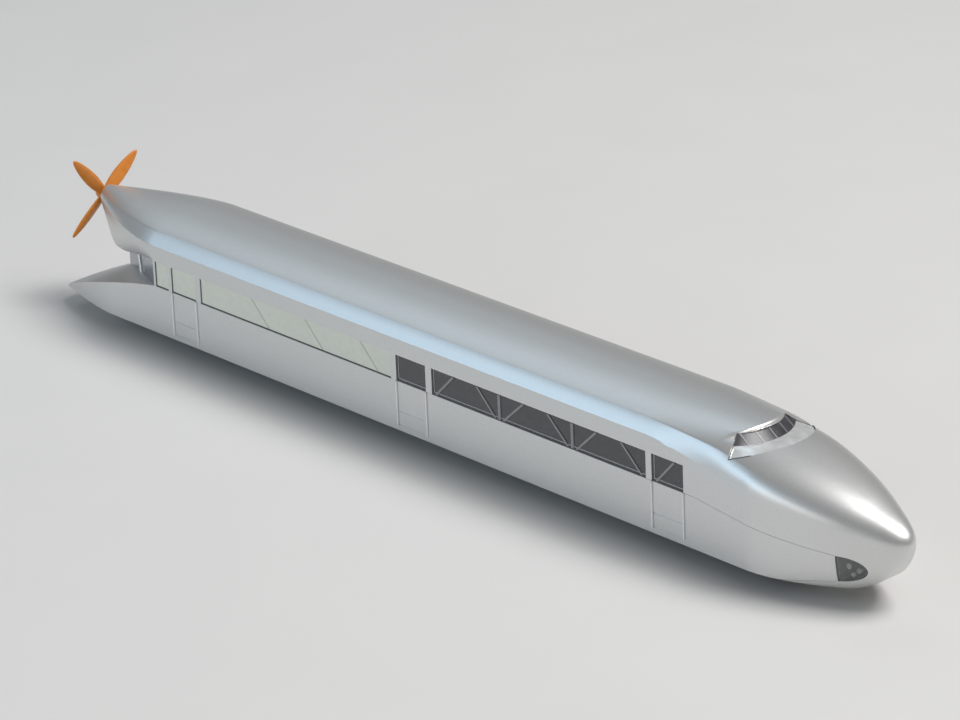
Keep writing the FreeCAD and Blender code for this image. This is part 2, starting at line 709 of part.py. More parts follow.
# ---------------------------------------------------------------- motor truck
IDLER_X = REAR_AXLE_X + IDLER_OFFSET_X
AXLE_TO_IDLER = MODULE * (AXLE_TEETH + IDLER_TEETH) / 2 + MESH_SLACK
IDLER_Z = FLANGE_R + math.sqrt(AXLE_TO_IDLER ** 2 - IDLER_OFFSET_X ** 2)
ARMATURE_X = IDLER_X + PINION_OFFSET_X
IDLER_TO_PINION = MODULE * (IDLER_TEETH + PINION_TEETH) / 2 + MESH_SLACK
ARMATURE_Z = IDLER_Z + math.sqrt(IDLER_TO_PINION ** 2 - PINION_OFFSET_X ** 2)


def gear(teeth, x, z, bore_r, tooth_angle):
    """Spur gear about Y; tooth_angle is the direction of one tooth in the XZ plane."""
    pitch_r = MODULE * teeth / 2
    root_r, tip_r = pitch_r - 1.2 * MODULE, pitch_r + 0.9 * MODULE
    step = 2 * math.pi / teeth
    points = []
    for i in range(teeth):
        mid = tooth_angle + i * step
        for r, part in ((root_r, -0.29), (pitch_r, -0.215), (tip_r, -0.09),
                        (tip_r, 0.09), (pitch_r, 0.215), (root_r, 0.29)):
            a = mid + part * step
            points.append((x + r * math.cos(a), z + r * math.sin(a)))
    wheel_ = prism_y(points, GEAR_Y0, GEAR_Y1)
    return wheel_.cut(cyl_y(GEAR_Y0 - 1, GEAR_Y1 + 1, bore_r, x, z))


def gear_train():
    """Axle gear, idler and pinion, with their teeth in mesh at rest."""
    to_idler = math.atan2(IDLER_Z - FLANGE_R, IDLER_OFFSET_X)
    to_pinion = math.atan2(ARMATURE_Z - IDLER_Z, PINION_OFFSET_X)
    axle_gear = gear(AXLE_TEETH, REAR_AXLE_X, FLANGE_R, AXLE_R, to_idler)
    idler_step = 2 * math.pi / IDLER_TEETH
    idler_angle = to_idler + math.pi + idler_step / 2
    idler = gear(IDLER_TEETH, IDLER_X, IDLER_Z, SHAFT_R + RUN, idler_angle)
    turn = (to_pinion - idler_angle) / idler_step
    phase = turn - math.floor(turn)
    pinion_step = 2 * math.pi / PINION_TEETH
    pinion_angle = to_pinion + math.pi + pinion_step * (0.5 + phase)
    pinion = gear(PINION_TEETH, ARMATURE_X, ARMATURE_Z, SHAFT_R, pinion_angle)
    return axle_gear, idler, pinion


def armature_core():
    """Three-pole laminated core."""
    core = cyl_y(CORE_Y0, CORE_Y1, ARMATURE_R, ARMATURE_X, ARMATURE_Z)
    for i in range(3):
        a = math.radians(60 + 120 * i)
        cx = ARMATURE_X + 4.1 * math.cos(a)
        cz = ARMATURE_Z + 4.1 * math.sin(a)
        core = core.cut(cyl_y(CORE_Y0 - 1, CORE_Y1 + 1, 1.7, cx, cz))
    return core.cut(cyl_y(-9, 9, SHAFT_R, ARMATURE_X, ARMATURE_Z))


def armature_windings():
    """Copper coils in the slots of the core."""
    coils = []
    for i in range(3):
        a = math.radians(60 + 120 * i)
        cx = ARMATURE_X + 3.55 * math.cos(a)
        cz = ARMATURE_Z + 3.55 * math.sin(a)
        coils.append(cyl_y(CORE_Y0 + 0.1, CORE_Y1 - 0.1, 1.1, cx, cz))
    return Part.makeCompound(coils)


def field_magnets():
    """Two curved magnets around the armature."""
    ring = tube_y(CORE_Y0, CORE_Y1, MAGNET_IN_R, MAGNET_OUT_R, ARMATURE_X, ARMATURE_Z)
    halves = []
    for side in (-1, 1):
        x0, x1 = sorted((ARMATURE_X + side * 2.6, ARMATURE_X + side * 8.0))
        halves.append(ring.common(box(x0, x1, -8, 8, ARMATURE_Z - 8, ARMATURE_Z + 8)))
    return Part.makeCompound(halves)


def motor_truck_frame():
    """Cast frame of the driven truck: two side plates and a top plate."""
    x0, x1 = REAR_AXLE_X - 7.0, REAR_AXLE_X + 14.5
    outline = [(x0, 3.6), (REAR_AXLE_X + 4.0, 3.6), (x1, 12.0), (x1, 26.6), (x0, 26.6)]
    sides = [prism_y(outline, PLATE_IN_Y, PLATE_OUT_Y), prism_y(outline, -PLATE_OUT_Y, -PLATE_IN_Y)]
    top = box(x0, x1, -PLATE_OUT_Y, PLATE_OUT_Y, 25.6, 27.2)
    back = box(x0, x0 + 1.2, -PLATE_OUT_Y, PLATE_OUT_Y, 13.0, 26.0)
    saddle = box(ARMATURE_X - 8.2, ARMATURE_X + 8.2, CORE_Y0, CORE_Y1, ARMATURE_Z - 3, ARMATURE_Z + 3)
    saddle = saddle.cut(cyl_y(-8, 8, MAGNET_OUT_R, ARMATURE_X, ARMATURE_Z))
    saddle = saddle.fuse(box(ARMATURE_X + 6.8, x1, -PLATE_OUT_Y, PLATE_OUT_Y,
                             ARMATURE_Z - 3, ARMATURE_Z + 3))
    frame = fuse(sides + [top, back])
    frame = frame.fuse(saddle.common(box(x0, x1, -PLATE_OUT_Y, PLATE_OUT_Y, 0, 40)))
    frame = frame.cut(cyl_y(-8, 8, MAGNET_OUT_R, ARMATURE_X, ARMATURE_Z)
                      .common(box(-200, 200, -PLATE_IN_Y, PLATE_IN_Y, 0, 40)))
    frame = frame.cut(cyl_y(-20, 20, BEARING_R, REAR_AXLE_X, FLANGE_R))
    frame = frame.cut(cyl_y(-20, 20, 1.4, ARMATURE_X, ARMATURE_Z))
    frame = frame.cut(cyl_y(2.0, 20, SHAFT_R, IDLER_X, IDLER_Z))
    frame = frame.cut(cyl_z(20, 40, PIVOT_R + RUN, REAR_AXLE_X))
    return biggest(frame)


def armature_bearings():
    return Part.makeCompound([
        tube_y(PLATE_IN_Y, PLATE_OUT_Y, SHAFT_R + RUN, 1.4, ARMATURE_X, ARMATURE_Z),
        tube_y(-PLATE_OUT_Y, -PLATE_IN_Y, SHAFT_R + RUN, 1.4, ARMATURE_X, ARMATURE_Z)])


def commutator():
    return tube_y(-4.6, -2.8, SHAFT_R, 1.8, ARMATURE_X, ARMATURE_Z)


def brushes():
    """Two carbon brushes that bear on the commutator."""
    out = []
    for side in (-1, 1):
        x0, x1 = sorted((ARMATURE_X + side * 1.88, ARMATURE_X + side * 4.4))
        out.append(box(x0, x1, -4.3, -3.1, ARMATURE_Z - 0.6, ARMATURE_Z + 0.6))
    return Part.makeCompound(out)


def brush_plate():
    """Insulating plate with the holders of both brushes."""
    z0, z1 = ARMATURE_Z - 3.0, ARMATURE_Z + 3.0
    plate = box(ARMATURE_X - 6.0, ARMATURE_X + 6.0, -PLATE_IN_Y, -4.8, z0, z1)
    plate = plate.cut(cyl_y(-8, 0, 1.3, ARMATURE_X, ARMATURE_Z))
    for side in (-1, 1):
        x0, x1 = sorted((ARMATURE_X + side * 2.6, ARMATURE_X + side * 5.4))
        plate = plate.fuse(box(x0, x1, -4.9, -2.9, ARMATURE_Z - 1.3, ARMATURE_Z + 1.3))
    return plate.cut(Part.makeCompound(brushes().Solids))


# ---------------------------------------------------------------- propeller
def blade_section(r, chord, thick):
    """Lens-shaped blade section at radius r, pitched about the radial line."""
    pitch = math.radians(BLADE_PITCH_DEG + 22 * (1 - r / PROP_R))
    pts = []
    steps = 12
    for i in range(steps):
        t = 2 * math.pi * i / steps
        a, b = chord / 2 * math.cos(t), thick / 2 * math.sin(t)
        ax = a * math.sin(pitch) + b * math.cos(pitch)
        tan = a * math.cos(pitch) - b * math.sin(pitch)
        pts.append(V(PROP_X + ax, tan, r))
    curve = Part.BSplineCurve()
    curve.interpolate(pts, PeriodicFlag=True)
    return Part.Wire([curve.toShape()])


def propeller():
    """Four-blade airscrew, moulded in one piece with its hub."""
    rows = [(1.0, 2.2, 1.3), (3.0, 2.9, 1.15), (5.5, 3.7, 1.0), (8.5, 3.9, 0.85),
            (11.3, 3.3, 0.7), (13.3, 2.4, 0.6), (14.3, 1.5, 0.5), (PROP_R, 0.5, 0.35)]
    blade = loft([blade_section(*row) for row in rows])
    parts = [cyl_x(PROP_X - 1.2, PROP_X + 1.3, PROP_HUB_R)]
    for i in range(PROP_BLADES):
        one = blade.copy()
        one.rotate(V(0, 0, 0), V(1, 0, 0), PROP_REST_DEG - 90 + 360 / PROP_BLADES * i)
        parts.append(one)
    whole = fuse(parts)
    whole = whole.cut(cyl_x(PROP_X - 5, PROP_X + 5, SHAFT_R))
    whole.translate(V(0, 0, PROP_Z))
    return whole


def spinner():
    """Rounded cap that holds the propeller on its shaft."""
    steps = 8
    base = PROP_X - 1.2
    points = [V(base, 0, 0)]
    for i in range(steps + 1):
        t = math.pi / 2 * i / steps
        points.append(V(base - 1.9 * math.sin(t), 1.6 * math.cos(t), 0))
    face = Part.Face(Part.makePolygon(points + [points[0]]))
    cap = face.revolve(V(0, 0, 0), V(1, 0, 0), 360)
    cap = cap.cut(cyl_x(base - 1.1, base + 1, SHAFT_R))
    cap.translate(V(0, 0, PROP_Z))
    return cap


def propeller_shaft():
    return cyl_x(PROP_X - 2.2, -118.0, SHAFT_R, 0.0, PROP_Z)


def shaft_bush():
    """Bearing bush in the bore of the cone."""
    bush = cyl_x(CONE_END_X, -134.0, 1.5, 0.0, PROP_Z)
    return bush.cut(cyl_x(-150, -130, SHAFT_R + RUN, 0.0, PROP_Z))


def coupling_sleeve():
    sleeve = cyl_x(-120.4, -115.6, 1.5, 0.0, PROP_Z)
    return sleeve.cut(cyl_x(-130, -110, SHAFT_R, 0.0, PROP_Z))


def propeller_motor():
    """Small can motor on the propeller axis: can, rotor with shaft, and bracket."""
    can = cyl_x(MOTOR_X0, MOTOR_X1, MOTOR_R, 0.0, PROP_Z)
    can = can.cut(cyl_x(MOTOR_X0 + 0.8, MOTOR_X1 - 0.8, MOTOR_R - 0.5, 0.0, PROP_Z))
    can = can.cut(cyl_x(MOTOR_X0 - 1, MOTOR_X1 + 1, SHAFT_R + RUN, 0.0, PROP_Z))
    rotor = cyl_x(MOTOR_X0 + 2.0, MOTOR_X1 - 3.0, 2.2, 0.0, PROP_Z)
    rotor = rotor.fuse(cyl_x(-118.0, MOTOR_X1 + 0.4, SHAFT_R, 0.0, PROP_Z))
    ring = cyl_x(-110.0, -104.5, MOTOR_R + 0.8, 0.0, PROP_Z)
    ring = ring.fuse(box(-110.0, -104.5, -3.0, 3.0, 22.6, PROP_Z - 2))
    ring = ring.fuse(box(-110.0, -90.4, -3.0, 3.0, 21.4, 22.7))
    ring = ring.fuse(box(-91.6, -90.4, -3.0, 3.0, DECK_Z1, 21.5))
    ring = ring.cut(cyl_x(-120, -90, MOTOR_R, 0.0, PROP_Z))
    cap = box(-111, -104, -5, 5, 31.8, 36)
    return can, rotor, ring.cut(cap)


# ---------------------------------------------------------------- build
def main():
    os.makedirs("parts", exist_ok=True)
    outer, upper, lower = build_shells()
    save("upper_body_shell", biggest(upper))
    save("lower_body_shell", biggest(lower))
    clear = wall_strip([DOORS[1], CLEAR_WINDOW, DOORS[2]], -9.6, 93.4)
    blank = wall_strip([STERN_PANEL, DOORS[0], BLANK_WINDOW], -103.8, -9.6)
    truss = window_truss()
    save("window_truss", Part.makeCompound(truss.Solids + mirror_y(truss).Solids))
    for side, turn in (("left", lambda s: s), ("right", mirror_y)):
        save("side_glazing_" + side, turn(clear))
        save("window_blank_" + side, turn(blank))
    save("door_handrails", door_handrails())
    glass, mullions = windscreen_parts()
    save("windscreen", glass)
    save("windscreen_mullions", mullions)
    lens = headlight(outer)
    save("headlight_left", lens)
    save("headlight_right", mirror_y(lens))
    stern_glass, stern_posts = stern_parts(outer)
    save("stern_glazing", stern_glass)
    save("stern_posts", stern_posts)
    save("nose_hatch", nose_hatch(outer))
    save("floor_plate", floor_plate())
    save("chassis_frame", chassis_frame())
    save("motor_bridge", motor_bridge())
    save("ballast_weight", ballast())
    save("passenger_seats", passenger_seats())
    save("body_screws", screws())
    board, lamps = lighting()
    save("circuit_board", board)
    save("lamps", lamps)
    save("light_guide", light_guide())
    save("front_truck_frame", front_truck_frame())
    save("front_pivot_pin", pivot_pin(FRONT_AXLE_X, 14.1, DECK_Z1))
    save("front_pickup_springs", pickup_springs())
    save("motor_truck_frame", motor_truck_frame())
    save("motor_pivot_pin", pivot_pin(REAR_AXLE_X, 25.5, 29.0))
    for name, x, groove in (("front", FRONT_AXLE_X, False), ("rear", REAR_AXLE_X, True)):
        save(name + "_axle", axle(x))
        save(name + "_axle_bearings", axle_bearings(x))
        save(name + "_wheel_left", place_wheel(1, x, groove))
        save(name + "_wheel_right", place_wheel(-1, x, groove))
        save(name + "_wheel_bushes", wheel_bushes(x))
    save("traction_tyres", traction_tyres(REAR_AXLE_X))
    axle_gear, idler, pinion = gear_train()
    save("axle_gear", axle_gear)
    save("idler_gear", idler)
    save("idler_pin", cyl_y(2.4, PLATE_OUT_Y, SHAFT_R, IDLER_X, IDLER_Z))
    save("armature_pinion", pinion)
    save("armature_core", armature_core())
    save("armature_windings", armature_windings())
    save("armature_shaft", cyl_y(-PLATE_OUT_Y, PLATE_OUT_Y, SHAFT_R, ARMATURE_X, ARMATURE_Z))
    save("armature_bearings", armature_bearings())
    save("commutator", commutator())
    save("field_magnets", field_magnets())
    save("brushes", brushes())
    save("brush_plate", brush_plate())
    save("propeller", propeller())
    save("propeller_spinner", spinner())
    save("propeller_shaft", propeller_shaft())
    save("propeller_bush", shaft_bush())
    save("coupling_sleeve", coupling_sleeve())
    can, rotor, bracket = propeller_motor()
    save("propeller_motor_can", can)
    save("propeller_motor_rotor", rotor)
    save("propeller_motor_bracket", bracket)


main()
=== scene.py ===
"""Looks of the propeller railcar model: smooth painted shells, glazing, propeller, studio.

Row frame: +X to the bullet nose, +Y to the left side, +Z up, in metres.
"""
import json
import math

import bmesh
import bpy
from mathutils import Matrix, Vector
from mathutils.bvhtree import BVHTree
from mathutils.interpolate import poly_3d_calc


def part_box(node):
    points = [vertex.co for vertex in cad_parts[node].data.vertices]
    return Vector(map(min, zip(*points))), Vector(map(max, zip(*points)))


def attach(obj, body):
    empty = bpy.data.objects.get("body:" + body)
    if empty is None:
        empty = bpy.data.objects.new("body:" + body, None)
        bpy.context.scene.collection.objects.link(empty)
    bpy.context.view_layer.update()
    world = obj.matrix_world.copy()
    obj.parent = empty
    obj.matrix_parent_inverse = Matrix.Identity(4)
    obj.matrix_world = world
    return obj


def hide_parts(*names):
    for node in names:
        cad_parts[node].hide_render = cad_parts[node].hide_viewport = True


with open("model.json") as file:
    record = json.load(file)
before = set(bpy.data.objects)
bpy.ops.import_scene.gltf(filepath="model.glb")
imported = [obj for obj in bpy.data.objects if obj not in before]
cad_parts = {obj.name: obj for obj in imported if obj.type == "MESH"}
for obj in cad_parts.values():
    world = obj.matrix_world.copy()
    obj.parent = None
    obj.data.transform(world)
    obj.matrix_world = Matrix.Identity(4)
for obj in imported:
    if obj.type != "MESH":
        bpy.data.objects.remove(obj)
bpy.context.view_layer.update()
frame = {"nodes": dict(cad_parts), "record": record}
MM = 0.001

# ---- sizes read from the frame ----
UPPER_LOW, UPPER_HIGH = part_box("upper_body_shell")
LOWER_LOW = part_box("lower_body_shell")[0]
NOSE_X = UPPER_HIGH.x
ROOF_Z = UPPER_HIGH.z
HALF_WIDTH = UPPER_HIGH.y
SKIRT_Z = LOWER_LOW.z
BILL_X = LOWER_LOW.x
CONE_END_X = UPPER_LOW.x
HUB = (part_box("propeller")[0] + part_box("propeller")[1]) / 2

# ---- body form ----
SHELL = 1.2 * MM
SILL_Z = 17.5 * MM
WINDOW_TOP_Z = 24.4 * MM
WALL_TOP_Z = 28.7 * MM
TAIL_X = -104.0 * MM
NOSE_START_X = 80.0 * MM
NOSE_TOP_X = 93.8 * MM
NOSE_PLAN_X = 111.5 * MM
NOSE_BELLY_X = 134.0 * MM
NOSE_TIP_Z = 16.4 * MM
NOSE_BLUNT_X = 137.0 * MM
NOSE_BLUNT = 0.13
CONE_LIFT_X = -135.3 * MM
BILL_TAPER_X = -124.0 * MM
BILL_HALF_WIDTH = 10.3 * MM
SEAM_DROP_X = 95.0 * MM
CHIN_X = 120.0 * MM
SEAM_GAP = 0.07 * MM
ROOF_POWER = 2.4

# ---- shoulder crease, as shares of the half width and the roof's rise ----
CREASE_OUT, CREASE_UP = 0.855, 0.616
CREASE_SHARP = 0.86
CREASE_ANGLE = math.acos(CREASE_OUT ** (ROOF_POWER / 2))

# ---- openings along X ----
DOORS = [(-96.5 * MM, -86.6 * MM), (-8.3 * MM, 2.6 * MM), (81.2 * MM, 91.6 * MM)]
STERN_PANEL = (-103.2 * MM, -97.9 * MM)
BLANK_WINDOW = (-84.6 * MM, -10.3 * MM)
CLEAR_WINDOW = (4.8 * MM, 79.3 * MM)

# ---- windscreen rings: radius, centre X, height ----
SCREEN_TOP = (14.7 * MM, 89.6 * MM, 33.0 * MM)
SCREEN_FOOT = (14.9 * MM, 92.4 * MM, 30.9 * MM)
SCREEN_LEDGE = (15.2 * MM, 97.8 * MM, 30.1 * MM)
LEDGE_BED_Z = 28.2 * MM
LEDGE_GAP = 0.22 * MM
BROW_R = 14.9 * MM
BROW_FILLET = 1.0 * MM
SCREEN_SIDE = (102.0 * MM, 7.9 * MM)
SCREEN_CORNER = (105.5 * MM, 15.5 * MM)

# ---- propeller ----
BLADES = 4
FIRST_BLADE_DEG = -51.0
BLADE_REACH = 14.8
TIP_PITCH_DEG, ROOT_PITCH_DEG = 16.0, 28.0

# ---- headlights ----
LAMP_X, LAMP_TIP_X = 134.0 * MM, 140.6 * MM
LAMP_LOW_Z, LAMP_HIGH_Z, LAMP_TIP_Z = 6.6 * MM, 13.1 * MM, 10.1 * MM

# ---- camera ----
CAMERA_AZIMUTH, CAMERA_ELEVATION, CAMERA_ROLL = 48.8, 22.0, -2.37
CAMERA_DISTANCE = 1083.6 * MM
CAMERA_LENS, CAMERA_SENSOR = 166.61, 36.0


# ------------------------------------------------------------ small helpers
def clamp01(u):
    return min(max(u, 0.0), 1.0)


def mix(a, b, u):
    return a + (b - a) * u


def smooth(a, b, x):
    u = clamp01((x - a) / (b - a))
    return u * u * (3 - 2 * u)


def stations(x0, x1, count, ease=1.0):
    """Places along X, closer together towards x1 when ease is above one."""
    return [x1 + (x0 - x1) * (1 - i / count) ** ease for i in range(count + 1)]


def make_object(name, points, faces):
    mesh = bpy.data.meshes.new(name)
    mesh.from_pydata([tuple(p) for p in points], [], faces)
    mesh.update()
    obj = bpy.data.objects.new(name, mesh)
    bpy.context.scene.collection.objects.link(obj)
    return obj


def fix_normals(obj):
    """Faces of a closed mesh all point outwards."""
    work = bmesh.new()
    work.from_mesh(obj.data)
    bmesh.ops.remove_doubles(work, verts=work.verts, dist=1e-7)
    bmesh.ops.recalc_face_normals(work, faces=work.faces)
    if work.calc_volume(signed=True) < 0:
        bmesh.ops.reverse_faces(work, faces=work.faces)
    work.to_mesh(obj.data)
    work.free()
    return obj


def loft(name, rings):
    """Closed skin over a row of rings with equal point counts."""
    count = len(rings[0])
    points = [p for ring in rings for p in ring]
    faces = []
    for i in range(len(rings) - 1):
        for j in range(count):
            k = (j + 1) % count
            a, b = i * count, (i + 1) * count
            faces.append((a + j, a + k, b + k, b + j))
    faces.append(tuple(range(count)))
    faces.append(tuple((len(rings) - 1) * count + j for j in reversed(range(count))))
    return fix_normals(make_object(name, points, faces))


def prism(name, outline, axis, low, high):
    """Outline extruded along Y or Z between two heights."""
    if axis == "Y":
        rings = [[(x, level, z) for x, z in outline] for level in (low, high)]
    else:
        rings = [[(x, y, level) for x, y in outline] for level in (low, high)]
    return loft(name, rings)


def block(name, x0, x1, y0, y1, z0, z1):
    return prism(name, [(x0, y0), (x1, y0), (x1, y1), (x0, y1)], "Z", z0, z1)


def disc(name, radius, centre_x, z0, z1, count=180):
    turns = [2 * math.pi * i / count for i in range(count)]
    outline = [(centre_x + radius * math.cos(t), radius * math.sin(t)) for t in turns]
    return prism(name, outline, "Z", z0, z1)


def apply_modifiers(obj):
    graph = bpy.context.evaluated_depsgraph_get()
    mesh = bpy.data.meshes.new_from_object(obj.evaluated_get(graph))
    obj.modifiers.clear()
    obj.data = mesh
    return obj


def combine(obj, tool, operation, keep_tool=False):
    """Cut, join or intersect obj with a closed tool mesh."""
    step = obj.modifiers.new("combine", "BOOLEAN")
    step.object = tool
    step.operation = operation
    step.solver = "EXACT"
    apply_modifiers(obj)
    if not keep_tool:
        bpy.data.objects.remove(tool)
    return obj


def cut(obj, tool, keep_tool=False):
    return combine(obj, tool, "DIFFERENCE", keep_tool)


# ------------------------------------------------------------ outer form
def nose_blunting(x):
    """How much the powers of the nose curves drop towards a round tip."""
    return NOSE_BLUNT * clamp01((x - NOSE_BLUNT_X) / (NOSE_X - NOSE_BLUNT_X)) ** 2


def nose_half_width(x):
    u = clamp01((x - NOSE_PLAN_X) / (NOSE_X - NOSE_PLAN_X))
    return HALF_WIDTH * (1 - u ** 1.5) ** (0.68 - nose_blunting(x))


def nose_top(x):
    u = clamp01((x - NOSE_TOP_X) / (NOSE_X - NOSE_TOP_X))
    return NOSE_TIP_Z + (ROOF_Z - NOSE_TIP_Z) * (1 - u ** 1.44) ** (0.64 - nose_blunting(x))


def nose_bottom(x):
    u = clamp01((x - NOSE_BELLY_X) / (NOSE_X - NOSE_BELLY_X))
    return NOSE_TIP_Z - (NOSE_TIP_Z - SKIRT_Z) * (1 - u ** 2.0) ** (0.72 - nose_blunting(x))


def shoulder_height(x, inset=0.0):
    """Height of the widest line of the nose, kept between its foot and its top."""
    u = clamp01((x - NOSE_START_X) / (NOSE_X - NOSE_START_X))
    low, high = nose_bottom(x) + inset, nose_top(x) - inset
    room = 0.3 * (high - low)
    level = min(mix(WALL_TOP_Z, NOSE_TIP_Z, u ** 1.1), high - min(0.4 * MM, room))
    return max(level, low + room)


def flank(w, y_low, z_low, z_wide, count=14):
    """Side from the skirt edge up to the shoulder, with a support row at the top."""
    angles = [math.pi / 2 * (1 - i / count) for i in range(count)] + [0.012, 0.0]
    rows = [(y_low + (w - y_low) * math.cos(t), z_wide - (z_wide - z_low) * math.sin(t))
            for t in angles]
    return rows


def roof_shares(crease, power):
    """Right half of the roof as shares of half width and rise, shoulder to ridge."""
    lower = [0.0, 0.04, 0.2, 0.4, 0.6, 0.8, 0.95, 1.0]
    upper = [0.012, 0.05, 0.1] + [0.1 + 0.9 * i / 24 for i in range(1, 25)]
    angles = [CREASE_ANGLE * v for v in lower]
    angles += [CREASE_ANGLE + (math.pi / 2 - CREASE_ANGLE) * v for v in upper]
    rows = []
    for t in angles:
        y = math.cos(t) ** (2 / power) if t < math.pi / 2 - 1e-9 else 0.0
        z = math.sin(t) ** (2 / power)
        if t <= CREASE_ANGLE + 1e-9:
            facet_y = 1 - (1 - CREASE_OUT) * z / CREASE_UP if z < CREASE_UP else CREASE_OUT
            y = mix(y, facet_y, crease)
        else:
            facet_z = 1 - (1 - CREASE_UP) * (y / CREASE_OUT) ** ROOF_POWER
            z = mix(z, facet_z, crease)
        rows.append((y, z))
    return rows


def body_ring(x, w, y_low, z_low, z_wide, z_top, power, crease, shape_roof=None):
    """Closed ring at x: left skirt edge, over the roof, to the right skirt edge."""
    half = flank(w, y_low, z_low, z_wide)
    for y_share, z_share in roof_shares(crease, power)[1:]:
        y = w * y_share
        top = shape_roof(x, y) if shape_roof else z_top
        half.append((y, z_wide + (top - z_wide) * z_share))
    left = [Vector((x, y, z)) for y, z in half]
    right = [Vector((x, -y, z)) for y, z in half[:-1]]
    return left + right[::-1]


def roof_level(x, y):
    """Height of the ridge line that a roof point at (x, y) is measured from."""
    beside = smooth(7.4 * MM, 9.5 * MM, y)
    ahead = smooth(96.0 * MM, 108.0 * MM, x)
    behind_glass = smooth(105.2 * MM, 106.4 * MM, x)
    drop = mix(behind_glass, ahead, beside)
    level = mix(ROOF_Z, nose_top(x), drop)
    inward = BROW_R - math.hypot(x - SCREEN_TOP[1], y)
    if x > SCREEN_TOP[1] and inward < BROW_FILLET:
        reach = clamp01((BROW_FILLET - inward) / BROW_FILLET)
        sag = BROW_FILLET * (1 - math.sqrt(1 - reach * reach))
        level -= sag * (1 - drop) * (1 - smooth(7.8 * MM, 11.0 * MM, y))
    return level


def skin_height(x, y):
    """Height of the nose's outer skin above the point (x, y)."""
    ring = [p for p in nose_ring(x) if p.y >= 0 and p.z >= shoulder_height(x) - 1e-9]
    ring.sort(key=lambda p: p.y)
    for near, far in zip(ring, ring[1:]):
        if near.y <= y <= far.y:
            return mix(near.z, far.z, (y - near.y) / max(far.y - near.y, 1e-9))
    return ring[-1].z


def nose_ring(x, inset=0.0):
    u = clamp01((x - NOSE_START_X) / (NOSE_X - NOSE_START_X))
    w = nose_half_width(x) - inset
    round_low = clamp01((x - NOSE_PLAN_X) / (NOSE_X - NOSE_PLAN_X))
    y_low = w * (1 - 0.93 * round_low ** 2.6)
    z_low = nose_bottom(x) + inset
    z_wide = shoulder_height(x, inset)
    crease = CREASE_SHARP * (1 - smooth(86.0 * MM, 122.0 * MM, x))
    power = mix(ROOF_POWER, 2.1, u)
    if inset:
        return body_ring(x, w, y_low, z_low, z_wide, nose_top(x) - inset, power, crease)
    return body_ring(x, w, y_low, z_low, z_wide, 0, power, crease, roof_level)


def straight_ring(x, inset=0.0, z_low=None):
    w = HALF_WIDTH - inset
    low = SKIRT_Z if z_low is None else z_low
    return body_ring(x, w, w, low, WALL_TOP_Z, ROOF_Z - inset, ROOF_POWER, CREASE_SHARP)


def cone_ring(x, inset=0.0):
    """Upper tail: narrows towards the propeller hub and lifts off the bill."""
    u = (TAIL_X - x) / (TAIL_X - CONE_END_X)
    w = 2.9 * MM + (HALF_WIDTH - 2.9 * MM) * (1 - 1.06 * u ** 2.45 / (u + 0.06))
    z_top = mix(ROOF_Z, 32.2 * MM, u ** 2)
    z_wide = mix(WALL_TOP_Z, HUB.z, u)
    if x > CONE_LIFT_X:
        s = (TAIL_X - x) / (TAIL_X - CONE_LIFT_X)
        z_low = mix(WINDOW_TOP_Z, 15.2 * MM, s ** 1.15)
        y_low = mix(HALF_WIDTH, 0.5 * MM, s ** 0.93)
    else:
        s = (CONE_LIFT_X - x) / (CONE_LIFT_X - CONE_END_X)
        z_low = mix(15.2 * MM, 26.2 * MM, s)
        y_low = mix(0.5 * MM, 1.0 * MM, s)
    y_low = max(min(y_low, w) - inset, 0.3 * MM)
    crease = CREASE_SHARP * (1 - smooth(0.35, 0.95, u))
    return body_ring(x, w - inset, y_low, z_low + inset, z_wide, z_top - inset,
                     mix(ROOF_POWER, 2.0, u), crease)


def nose_stations(x_end):
    rows = stations(NOSE_START_X, 99.5 * MM, 14)
    rows += stations(99.5 * MM, 107.0 * MM, 40)[1:]
    rows += stations(107.0 * MM, 114.0 * MM, 14)[1:]
    return rows + stations(114.0 * MM, x_end, 64, 1.8)[1:]


def cone_rows(x_end):
    rows = stations(TAIL_X, max(CONE_LIFT_X, x_end), 36)
    if x_end < CONE_LIFT_X:
        rows += stations(CONE_LIFT_X, x_end, 10)[1:]
    return rows[::-1]


def lower_level(x):
    """Top edge of the lower shell: the sill, then the seam down to the headlight."""
    u = clamp01((x - SEAM_DROP_X) / (LAMP_X - SEAM_DROP_X))
    return mix(SILL_Z, LAMP_HIGH_Z, u)


def lower_foot(x):
    """Bottom edge of the lower shell: level, then rising over the chin."""
    u = clamp01((x - CHIN_X) / (LAMP_X - CHIN_X))
    return mix(SKIRT_Z, LAMP_LOW_Z, u)


def deck_points(x, w, edge, crown):
    shares = [math.cos(math.pi * i / 36) for i in range(1, 36)]
    return [Vector((x, w * c, edge + crown * (1 - c * c))) for c in shares]


def lower_ring(x):
    """Ring of the lower shell: left foot, left edge, deck, right edge, right foot."""
    count = 12
    if x < TAIL_X:
        u = (TAIL_X - x) / (TAIL_X - BILL_X)
        taper = clamp01((BILL_TAPER_X - x) / (BILL_TAPER_X - BILL_X))
        w = HALF_WIDTH - (HALF_WIDTH - BILL_HALF_WIDTH) * taper ** 1.4
        edge = mix(SILL_Z, SKIRT_Z + 0.7 * MM, 0.62 * u + 0.38 * u ** 2.2)
        crown = mix(0.4 * MM, 1.5 * MM, math.sin(math.pi * min(u * 1.15, 1.0)))
        side = [(w, mix(SKIRT_Z, edge, i / count)) for i in range(count + 1)]
        return join_sides(x, side, deck_points(x, w, edge, crown))
    foot, edge = lower_foot(x), lower_level(x)
    side = []
    for i in range(count + 1):
        z = mix(foot, edge, i / count)
        side.append((flank_width(x, z), z))
    return join_sides(x, side, deck_points(x, side[-1][0], edge, 0.0))


def join_sides(x, side, deck):
    left = [Vector((x, y, z)) for y, z in side]
    right = [Vector((x, -y, z)) for y, z in side]
    return left + deck + right[::-1]


